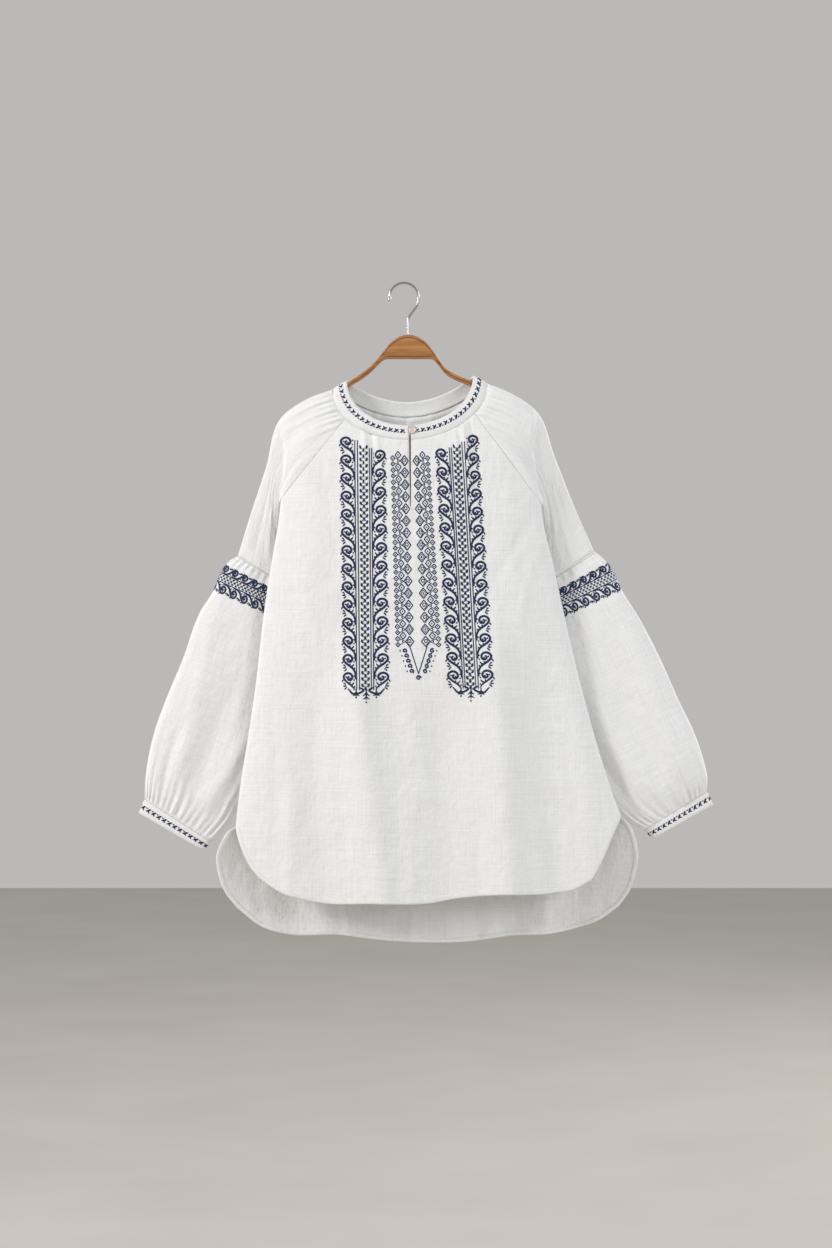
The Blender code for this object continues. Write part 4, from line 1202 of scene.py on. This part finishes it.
def add_noise(tree, vector, stretch, detail, roughness=0.5):
    mapping = tree.nodes.new("ShaderNodeMapping")
    mapping.inputs["Scale"].default_value = stretch
    tree.links.new(vector, mapping.inputs["Vector"])
    noise = tree.nodes.new("ShaderNodeTexNoise")
    noise.inputs["Scale"].default_value = 1.0
    noise.inputs["Detail"].default_value = detail
    noise.inputs["Roughness"].default_value = roughness
    tree.links.new(mapping.outputs[0], noise.inputs["Vector"])
    return noise.outputs["Fac"]


def add_bands(tree, vector, direction, scale, distortion=0.0):
    wave = tree.nodes.new("ShaderNodeTexWave")
    wave.bands_direction = direction
    wave.inputs["Scale"].default_value = scale
    wave.inputs["Distortion"].default_value = distortion
    wave.inputs["Detail"].default_value = 1.0
    tree.links.new(vector, wave.inputs["Vector"])
    return wave.outputs["Fac"]


# Linen: scales for a metre of cloth, and heights in metres
WEAVE_SCALE = 330.0
SLUB_ACROSS = 620
SLUB_ALONG = 16
WEAVE_HEIGHT = 0.00007
SLUB_HEIGHT = 0.00016
CRUMPLE_HEIGHT = 0.0042
# Low and high colour of each finish
WHITE_LINEN = ((0.8, 0.797, 0.785, 1), (0.9, 0.903, 0.905, 1))
BAND_LINEN = ((0.79, 0.786, 0.77, 1), (0.885, 0.887, 0.885, 1))
THREADS = {
    "navy_thread": ((0.007, 0.013, 0.05, 1), (0.022, 0.038, 0.115, 1)),
    "fine_navy_thread": ((0.009, 0.018, 0.065, 1), (0.03, 0.05, 0.145, 1)),
    "white_thread": ((0.66, 0.65, 0.6, 1), (0.84, 0.83, 0.8, 1)),
    "grey_thread": ((0.3, 0.275, 0.24, 1), (0.46, 0.43, 0.38, 1)),
}
WOOD = ((0.33, 0.125, 0.034, 1), (0.53, 0.235, 0.072, 1))
# Painted shade: dark wood colours for flat strips laid where the hanger's grooves are, standing in for the
# shade in grooves that have no cut of their own
GROOVE_SHADOW_WOOD = ((0.12, 0.04, 0.012, 1), (0.25, 0.09, 0.028, 1))
STEEL_ROUGHNESS = ((0.2, 0.2, 0.2, 1), (0.38, 0.38, 0.38, 1))
PEARL = ((0.62, 0.42, 0.33, 1), (0.88, 0.8, 0.74, 1))
FLOOR = ((0.54, 0.51, 0.47, 1), (0.58, 0.55, 0.51, 1))


def linen_group():
    """Plain weave with uneven threads both ways and soft crumples: a shade mask and a height."""
    group, given, made = shader_group(
        "linen_weave",
        (
            ("Place", "NodeSocketVector", None), ("Weave Scale", "NodeSocketFloat", 1.0),
            ("Slub", "NodeSocketFloat", 1.0), ("Crumple", "NodeSocketFloat", 1.0),
        ),
        (("Shade", "NodeSocketFloat"), ("Height", "NodeSocketFloat")),
    )
    scaled = group.nodes.new("ShaderNodeVectorMath")
    scaled.operation = "SCALE"
    group.links.new(given.outputs["Place"], scaled.inputs[0])
    group.links.new(given.outputs["Weave Scale"], scaled.inputs["Scale"])
    place = scaled.outputs[0]
    warp = add_bands(group, place, "X", WEAVE_SCALE, 0.6)
    weft = add_bands(group, place, "Y", WEAVE_SCALE, 0.6)
    weave = add_math(group, "MULTIPLY", warp, weft)
    slub_down = add_noise(group, place, (SLUB_ACROSS, SLUB_ALONG, 1), 2.0)
    slub_over = add_noise(group, place, (SLUB_ALONG, SLUB_ACROSS, 1), 2.0)
    slub = add_sum(group, (slub_down, given.outputs["Slub"]), (slub_over, given.outputs["Slub"]))
    crumple = add_noise(group, place, (26, 15, 1), 4.0, 0.55)
    creases = add_noise(group, place, (75, 60, 1), 3.0, 0.6)
    soft = add_sum(group, (crumple, 1.0), (creases, 0.32))
    soft = add_math(group, "MULTIPLY", soft, given.outputs["Crumple"])
    height = add_sum(group, (weave, WEAVE_HEIGHT), (slub, SLUB_HEIGHT), (soft, CRUMPLE_HEIGHT))
    shade = add_sum(group, (slub, 0.5), (weave, 0.12))
    group.links.new(shade, made.inputs["Shade"])
    group.links.new(height, made.inputs["Height"])
    return group


def start_material(name, colour, roughness, metallic=0.0):
    material = bpy.data.materials.new(name)
    material.use_nodes = True
    material.diffuse_color = colour
    shader = material.node_tree.nodes["Principled BSDF"]
    shader.inputs["Base Color"].default_value = colour
    shader.inputs["Roughness"].default_value = roughness
    shader.inputs["Metallic"].default_value = metallic
    return material, material.node_tree, shader


def add_bump(tree, height, shader, strength=1.0):
    bump = tree.nodes.new("ShaderNodeBump")
    bump.inputs["Distance"].default_value = 1.0
    bump.inputs["Strength"].default_value = strength
    tree.links.new(height, bump.inputs["Height"])
    tree.links.new(bump.outputs[0], shader.inputs["Normal"])


def paint(tree, shader, factor, places, colours, socket="Base Color"):
    """A socket of the shader goes from one colour to the other as the factor goes from place to place."""
    ramp = tree.nodes.new("ShaderNodeValToRGB")
    for element, place, colour in zip(ramp.color_ramp.elements, places, colours):
        element.position = place
        element.color = colour
    tree.links.new(factor, ramp.inputs[0])
    tree.links.new(ramp.outputs[0], shader.inputs[socket])


def texture_place(tree, socket):
    return tree.nodes.new("ShaderNodeTexCoord").outputs[socket]


def linen_material(name, group, colours, crumple):
    material, tree, shader = start_material(name, colours[1], 0.88)
    weave = tree.nodes.new("ShaderNodeGroup")
    weave.node_tree = group
    weave.inputs["Crumple"].default_value = crumple
    tree.links.new(texture_place(tree, "UV"), weave.inputs["Place"])
    paint(tree, shader, weave.outputs["Shade"], (0.36, 0.66), colours)
    shader.inputs["Sheen Weight"].default_value = 0.25
    shader.inputs["Sheen Roughness"].default_value = 0.5
    shader.inputs["Specular IOR Level"].default_value = 0.25
    add_bump(tree, weave.outputs["Height"], shader)
    return material


def thread_material(name, colours):
    material, tree, shader = start_material(name, colours[1], 0.6)
    place = texture_place(tree, "Object")
    paint(tree, shader, add_noise(tree, place, (420, 420, 420), 3.0), (0.3, 0.7), colours)
    shader.inputs["Specular IOR Level"].default_value = 0.3
    twist = add_bands(tree, place, "DIAGONAL", THREAD_TWIST, 0.5)
    add_bump(tree, add_math(tree, "MULTIPLY", twist, 0.00012), shader)
    return material


def wood_material():
    material, tree, shader = start_material("hanger_wood", WOOD[1], 0.34)
    place = texture_place(tree, "Object")
    grain = add_noise(tree, place, (9, 260, 330), 5.0, 0.6)
    layers = add_bands(tree, place, "Z", 24.0, 3.0)
    mixed = add_sum(tree, (grain, 0.75), (layers, 0.25))
    paint(tree, shader, mixed, (0.3, 0.68), WOOD)
    shader.inputs["Coat Weight"].default_value = 0.3
    shader.inputs["Coat Roughness"].default_value = 0.3
    add_bump(tree, add_math(tree, "MULTIPLY", grain, 0.00018), shader)
    return material


# Painted groove shade: dark wood colours with grain, for the strips along the hanger's faces
def groove_shadow_material():
    material, tree, shader = start_material("painted_groove_shadow", (0.2, 0.07, 0.02, 1), 0.6)
    place = texture_place(tree, "Object")
    grain = add_noise(tree, place, (12, 260, 330), 4.0)
    paint(tree, shader, grain, (0.3, 0.7), GROOVE_SHADOW_WOOD)
    return material


def steel_material():
    material, tree, shader = start_material("hook_steel", (0.42, 0.42, 0.43, 1), 0.26, 1.0)
    place = texture_place(tree, "Object")
    marks = add_noise(tree, place, (500, 500, 60), 3.0)
    paint(tree, shader, marks, (0.3, 0.75), STEEL_ROUGHNESS, "Roughness")
    add_bump(tree, add_math(tree, "MULTIPLY", marks, 0.00004), shader)
    return material


def pearl_material():
    material, tree, shader = start_material("button_pearl", PEARL[1], 0.2)
    place = texture_place(tree, "Object")
    cloud = add_noise(tree, place, (190, 190, 420), 4.0, 0.6)
    paint(tree, shader, cloud, (0.3, 0.66), PEARL)
    shader.inputs["Coat Weight"].default_value = 0.6
    shader.inputs["Coat Roughness"].default_value = 0.1
    add_bump(tree, add_math(tree, "MULTIPLY", cloud, 0.0001), shader)
    return material


def make_front(linen, nodes):
    grid = panel_grid(False)
    left, right = slit_halves(grid)
    shape = bmesh.new()
    for part in (left, right):
        places = part[..., ::2] * MM
        order = slice(None, None, -1)
        lay_grid(shape, part[:, order], places[:, order])
    bmesh.ops.remove_doubles(shape, verts=shape.verts[:], dist=WELD_DISTANCE)
    item = finish_piece("front_cloth", shape, linen, nodes)
    thicken(item, CLOTH_THICKNESS)
    return item, grid


def make_back(linen, nodes):
    grid = panel_grid(True)
    shape = bmesh.new()
    lay_grid(shape, grid, grid[..., ::2] * MM)
    item = finish_piece("back_cloth", shape, linen, nodes)
    thicken(item, CLOTH_THICKNESS)
    return item, grid


def make_neckband(linen, thread, stitch):
    grid = neckband_grid()
    grid = faces_out(grid, grid_normals(grid))
    normals = grid_normals(grid)
    shape = bmesh.new()
    lay_grid(shape, grid, cloth_places(grid))
    band = finish_piece("neckband_cloth", shape, linen, ("neckband",))
    thicken(band, BAND_THICKNESS)
    repeats = round(reach_along(grid[BAND_MIDDLE_ROW])[-1] / CHAIN_PITCH)
    place = even_strip(grid, normals, BAND_MIDDLE_ROW, repeats)
    design = bmesh.new()
    lay_design(design, leaf_chain(repeats - 1), part_strip(place, 0.42, 0.74, 0.6), BAND_THICKNESS / 2)
    chain = finish_piece("neckband_embroidery", design, thread)
    sewing = bmesh.new()
    for row in BAND_STITCH_ROWS:
        for facing in (normals[row], -normals[row]):
            dashes(sewing, grid[row], facing, BAND_THICKNESS / 2, *FINE_STITCH)
    stitches = finish_piece("neckband_stitches", sewing, stitch)
    return grid


def even_strip(grid, normals, row, repeats):
    """Places on a band in repeats of even length along one of its rows."""
    reach = reach_along(grid[row])
    columns = np.arange(grid.shape[1])
    read = grid_strip(grid, normals, 0, grid.shape[0] - 1, 0, 1)

    def place(a, d):
        return read(a, np.interp(d / repeats * reach[-1], reach, columns))
    return place


def make_upper_sleeve(side, name, linen):
    grid = upper_sleeve_grid(side)
    return make_tube("upper_sleeve_%s_cloth" % name, grid, CLOTH_THICKNESS, linen, ("upper_sleeve_" + name,))


def make_lower_sleeve(side, name, linen, thread, stitch):
    grid, fractions = lower_sleeve_grid(side)
    cloth = make_tube("lower_sleeve_%s_cloth" % name, grid, CLOTH_THICKNESS, linen, ("lower_sleeve_" + name,))
    closed = close_ring(grid)
    normals = closed_normals(closed)
    distance = fractions * reach_along(np.array(LOWER_SLEEVE[side], float)[:, :2])[-1]
    rows = np.interp(SLEEVE_BAND[side], distance, np.arange(len(distance)))
    middle = int(rows.mean())
    repeats = round(reach_along(closed[middle])[-1] / SLEEVE_PITCH)
    read = even_strip(closed, normals, middle, repeats)

    def place(a, d):
        row = rows[0] + (rows[1] - rows[0]) * a
        return read(row / (closed.shape[0] - 1), d)
    design = bmesh.new()
    lay_design(design, scroll(repeats, SLEEVE_WEIGHT), part_strip(place, 0.0, 0.33))
    lay_design(design, scroll(repeats, SLEEVE_WEIGHT), part_strip(place, 1.0, 0.67, 0.5))
    lay_design(design, lattice(repeats, 3, 0.75), part_strip(place, 0.38, 0.62))
    for a in (0.35, 0.65):
        lay_design(design, [straight(a, 0, repeats)], place)
    band = finish_piece("sleeve_embroidery_" + name, design, thread)
    sewing = bmesh.new()
    lay_stroke(sewing, closed[1], normals[1], np.full(len(closed[1]), 1.1), 0.35, 0.9)
    row = int(np.interp(9.0, distance, np.arange(len(distance))))
    dashes(sewing, closed[row], normals[row], 0.4)
    seam = finish_piece("elbow_seam_" + name, sewing, stitch)


def make_cuff(side, name, linen, thread, stitch):
    grid = cuff_grid(side)
    cloth = make_tube("cuff_%s_cloth" % name, grid, BAND_THICKNESS, linen, ("cuff_" + name,))
    closed = close_ring(grid)
    normals = closed_normals(closed)
    repeats = round(reach_along(closed[BAND_MIDDLE_ROW])[-1] / CHAIN_PITCH)
    place = even_strip(closed, normals, BAND_MIDDLE_ROW, repeats)
    design = bmesh.new()
    lay_design(design, leaf_chain(repeats), part_strip(place, 0.32, 0.68), BAND_THICKNESS / 2)
    chain = finish_piece("cuff_embroidery_" + name, design, thread)
    sewing = bmesh.new()
    for row in BAND_STITCH_ROWS:
        dashes(sewing, closed[row], normals[row], BAND_THICKNESS / 2, *FINE_STITCH)
    stitches = finish_piece("cuff_stitches_" + name, sewing, stitch)


def button_frame():
    """Seat of the button on the band and the three directions it is turned to."""
    low = seam_point(1, BUTTON_TURN)
    x, z = neck_point(TOP_LOOP, 1, BUTTON_TURN)
    high = np.array((x, low[1] * BAND_LEAN, z))
    up = (high - low) / np.linalg.norm(high - low)
    out = np.cross((1.0, 0.0, 0.0), up)
    out *= -np.sign(out[1])
    seat = low + (high - low) * BUTTON_UP_BAND + out * (BAND_THICKNESS / 2 + 0.5)
    return seat, up, np.cross(up, out), out


BUTTON_PROFILE = (
    (0.02, 0.55), (0.3, 0.5), (0.58, 0.6), (0.7, 0.95), (0.84, 1.0), (0.95, 0.86), (1.0, 0.5),
    (0.93, 0.14), (0.6, 0.0), (0.02, 0.0),
)
BUTTON_THICKNESS = 2.4
BUTTON_ROUND = 40
THREAD_SEAT = 0.52
LOOP_STEPS = 22
LOOP_REACH = (6.6, 6.4)
BUTTON_HOLES = ((-1.1, -1.1), (1.1, -1.1), (1.1, 1.1), (-1.1, 1.1))


def make_button(pearl, stitch):
    seat, up, sideways, out = button_frame()
    turns = np.linspace(0, 2 * math.pi, BUTTON_ROUND + 1)
    spokes = np.outer(np.cos(turns), sideways) + np.outer(np.sin(turns), up)
    rows = []
    for radius, height in BUTTON_PROFILE:
        rows.append(seat + spokes * radius * BUTTON_RADIUS + out * height * BUTTON_THICKNESS)
    shape = bmesh.new()
    lay_grid(shape, np.array(rows))
    close_solid(shape)
    finish_piece("pearl_button", shape, pearl, ("button",), 60)
    sewing = bmesh.new()
    for start, end in ((0, 2), (1, 3)):
        ends = [seat + sideways * BUTTON_HOLES[k][0] + up * BUTTON_HOLES[k][1] for k in (start, end)]
        line = np.linspace(ends[0], ends[1], 3) + out * THREAD_SEAT * BUTTON_THICKNESS
        lay_stroke(sewing, line, np.tile(out, (3, 1)), np.full(3, 0.45), 0.1, 0.6)
    angle = np.linspace(math.radians(70), math.radians(290), LOOP_STEPS)
    loop = seat + np.outer(np.cos(angle), sideways) * -LOOP_REACH[0] + out * 0.4
    loop += np.outer(np.sin(angle), up) * LOOP_REACH[1]
    lay_stroke(sewing, loop, np.tile(out, (LOOP_STEPS, 1)), np.full(LOOP_STEPS, 0.55), 0.0, 0.9)
    finish_piece("button_loop", sewing, stitch)


def hanger_rows():
    rows = []
    for side, order in ((-1, -1), (1, 1)):
        arm = []
        for place, seat, height, thickness in HIDDEN_ARM:
            row = station(UPPER_SLEEVE[side], place)
            arm.append((row["outer_x"], row["outer_z"] - seat, row["outer_z"] - seat - height, thickness))
        rows.append(arm[::order])
    table = np.array(rows[0] + list(HANGER_MIDDLE) + rows[1], float)
    places = np.arange(table[0, 0], table[-1, 0], HANGER_STEP)
    smooth = np.concatenate((places[:, None], table_curve(table[:, 0], table[:, 1:], places)), axis=1)
    for _ in range(2):
        smooth[1:-1] = (smooth[:-2] + 2 * smooth[1:-1] + smooth[2:]) / 4
    return smooth


def make_hanger(wood, groove_shade_paint):
    rows = hanger_rows()
    turns = 2 * math.pi * np.arange(HANGER_ROUND + 1) / HANGER_ROUND
    over, up = [np.copysign(abs(wave) ** HANGER_SQUARENESS, wave) for wave in (np.cos(turns), np.sin(turns))]
    grid = []
    for x, top, bottom, thickness in rows:
        z = (top + bottom) / 2 + up * (top - bottom) / 2
        grid.append(np.stack((np.full(len(turns), x), over * thickness / 2, z), axis=1))
    shape = bmesh.new()
    lay_grid(shape, np.array(grid))
    close_solid(shape)
    finish_piece("wooden_hanger", shape, wood, ("hanger",), 50)
    # Strips of painted groove shade along both faces of the hanger, near its top and near its bottom
    shade_strips = bmesh.new()
    x, top, bottom, thickness = rows.T
    middle = (top - bottom) / 2
    for face in (-1.0, 1.0):
        facing = np.tile((0.0, face, 0.0), (len(x), 1))
        for z in (top - np.minimum(middle, GROOVE_FROM_TOP), bottom + np.minimum(middle, GROOVE_FROM_BOTTOM)):
            line = np.stack((x, face * (thickness / 2 - 0.1), z), axis=1)
            lay_stroke(shade_strips, line, facing, np.full(len(x), 0.55), 0.0, 0.25)
    finish_piece("hanger_groove_shadows", shade_strips, groove_shade_paint)


def make_hook(steel):
    centre_line = HOOK_RADIUS + WIRE_RADIUS
    route = [(-centre_line, -HOOK_RADIUS + rise, size) for rise, size in HOOK_TIP]
    for turn in np.linspace(math.pi, 0, 40)[1:]:
        route.append((centre_line * math.cos(turn), centre_line * math.sin(turn) - HOOK_RADIUS, 1.0))
    stem = smooth_line([(centre_line, -HOOK_RADIUS)] + list(HOOK_NECK), 6)[1:]
    route += [(x, z, 1.0) for x, z in stem]
    curve = bpy.data.curves.new("steel_hook", "CURVE")
    curve.dimensions = "3D"
    curve.bevel_depth = WIRE_RADIUS * MM
    curve.bevel_resolution = 5
    curve.use_fill_caps = True
    spline = curve.splines.new("POLY")
    spline.points.add(len(route) - 1)
    for point, (x, z, size) in zip(spline.points, route):
        point.co = (x * MM, 0, z * MM, 1)
        point.radius = size
    spline.use_smooth = True
    curve.materials.append(steel)
    item = add_object("steel_hook", curve)
    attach(item, "root")
    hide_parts("hanger_hook")


# Rows under the neckband: drop below the seam, left and right end
BACK_NECK_ROWS = ((8.0, -58.0, 76.0), (13.5, -19.0, 39.0))
BACK_NECK_STEPS = 60


def back_neck_stitches(stitch):
    """Plain stitching inside the back, under the neckband."""
    sewing = bmesh.new()
    for drop, left, right in BACK_NECK_ROWS:
        x = np.linspace(left, right, BACK_NECK_STEPS)
        turn = np.arccos(np.clip((x - NECK_CENTRE_X) / SEAM_LOOP[0], -1, 1))
        z = neck_point(SEAM_LOOP, 1, turn, True)[1] - drop
        line = np.stack((x, back_y(x, z), z), axis=1)
        dashes(sewing, line, np.tile((0.0, -1.0, 0.0), (len(x), 1)), 0.45, 1.9, 1.2, 0.3)
    return finish_piece("back_neck_stitches", sewing, stitch)


def slit_stitches(grid, stitch):
    """Rows of stitches beside the slit, and a small bar at its foot."""
    middle = grid.shape[1] // 2
    foot = slit_foot(grid)
    sewing = bmesh.new()
    line = grid[: foot + 2, middle]
    for side in (-1, 1):
        half = np.linspace(SLIT_GAP[0] / 2, SLIT_GAP[1] / 2, len(line))
        points, normals = on_front(line[:, 0] + side * (half + SLIT_STITCH_INSET), line[:, 2])
        dashes(sewing, points, normals, 0.4, 1.9, 1.1, 0.28)
    x = line[-1, 0] + np.linspace(-SLIT_BAR_HALF, SLIT_BAR_HALF, 5)
    points, normals = on_front(x, np.full(5, line[-1, 2] - 0.6))
    lay_stroke(sewing, points, normals, np.full(5, 0.6), 0.4, 0.6)
    return finish_piece("slit_stitches", sewing, stitch)


def dress_blouse():
    weave = linen_group()
    linen = linen_material("white_linen", weave, WHITE_LINEN, 1.0)
    band_linen = linen_material("band_linen", weave, BAND_LINEN, 0.35)
    navy, fine_navy, white, grey = [thread_material(name, colours) for name, colours in THREADS.items()]
    front, front_grid = make_front(linen, ("front_panel",))
    back, back_grid = make_back(linen, ("back_panel",))
    on_front_pieces = [
        embroider_panel("front_embroidery_left", LEFT_STRIPS, navy),
        embroider_panel("front_embroidery_right", RIGHT_STRIPS, navy),
        embroider_strings(fine_navy),
        slit_stitches(front_grid, white),
    ]
    on_front_pieces += make_hem("front_hem", front_grid, False, band_linen, white)
    on_back_pieces = [back_neck_stitches(grey)] + make_hem("back_hem", back_grid, True, band_linen, white)
    make_neckband(band_linen, navy, white)
    for side, name in ((-1, "left"), (1, "right")):
        upper = make_upper_sleeve(side, name, linen)
        make_lower_sleeve(side, name, linen, navy, white)
        make_cuff(side, name, band_linen, navy, white)
    make_button(pearl_material(), white)
    make_hanger(wood_material(), groove_shadow_material())
    make_hook(steel_material())


def add_area_light(name, place, target, size, energy, colour):
    light = bpy.data.lights.new(name, "AREA")
    light.shape = "DISK"
    light.size = size
    light.energy = energy
    light.color = colour
    point_at(add_object(name, light), place, target)


def point_at(item, place, target):
    direction = np.array(target, float) - np.array(place, float)
    flat = math.hypot(direction[0], direction[1])
    item.location = place
    item.rotation_euler = (math.atan2(flat, -direction[2]), 0, math.atan2(-direction[0], direction[1]))


def make_studio():
    """Pale floor, soft light and the camera at the photograph's level view."""
    material, tree, shader = start_material("pale_floor", (0.56, 0.53, 0.49, 1), 0.8)
    tone = add_noise(tree, texture_place(tree, "Object"), (3, 3, 3), 3.0)
    paint(tree, shader, tone, (0.3, 0.7), FLOOR)
    shape = bmesh.new()
    bmesh.ops.create_grid(shape, x_segments=8, y_segments=8, size=6)
    bmesh.ops.translate(shape, verts=shape.verts[:], vec=(0, 0, FLOOR_Z))
    mesh = bpy.data.meshes.new("floor")
    shape.to_mesh(mesh)
    shape.free()
    mesh.materials.append(material)
    floor = add_object("floor", mesh)
    world = bpy.data.worlds.new("studio")
    world.use_nodes = True
    bpy.context.scene.world = world
    background = world.node_tree.nodes["Background"]
    background.inputs["Color"].default_value = (0.82, 0.81, 0.8, 1)
    background.inputs["Strength"].default_value = 0.6
    for light in LIGHTS:
        add_area_light(*light)
    camera = bpy.data.cameras.new("camera")
    camera.sensor_width = LONG_SIDE_SENSOR
    camera.lens = LONG_SIDE_SENSOR * VIEW_DISTANCE / VIEW_HEIGHT
    item = add_object("camera", camera)
    item.location = (VIEW_CENTRE[0], -VIEW_DISTANCE, VIEW_CENTRE[1])
    item.rotation_euler = (math.pi / 2, 0, 0)
    bpy.context.scene.camera = item
    bpy.context.scene.view_settings.view_transform = "Standard"


dress_blouse()
make_studio()
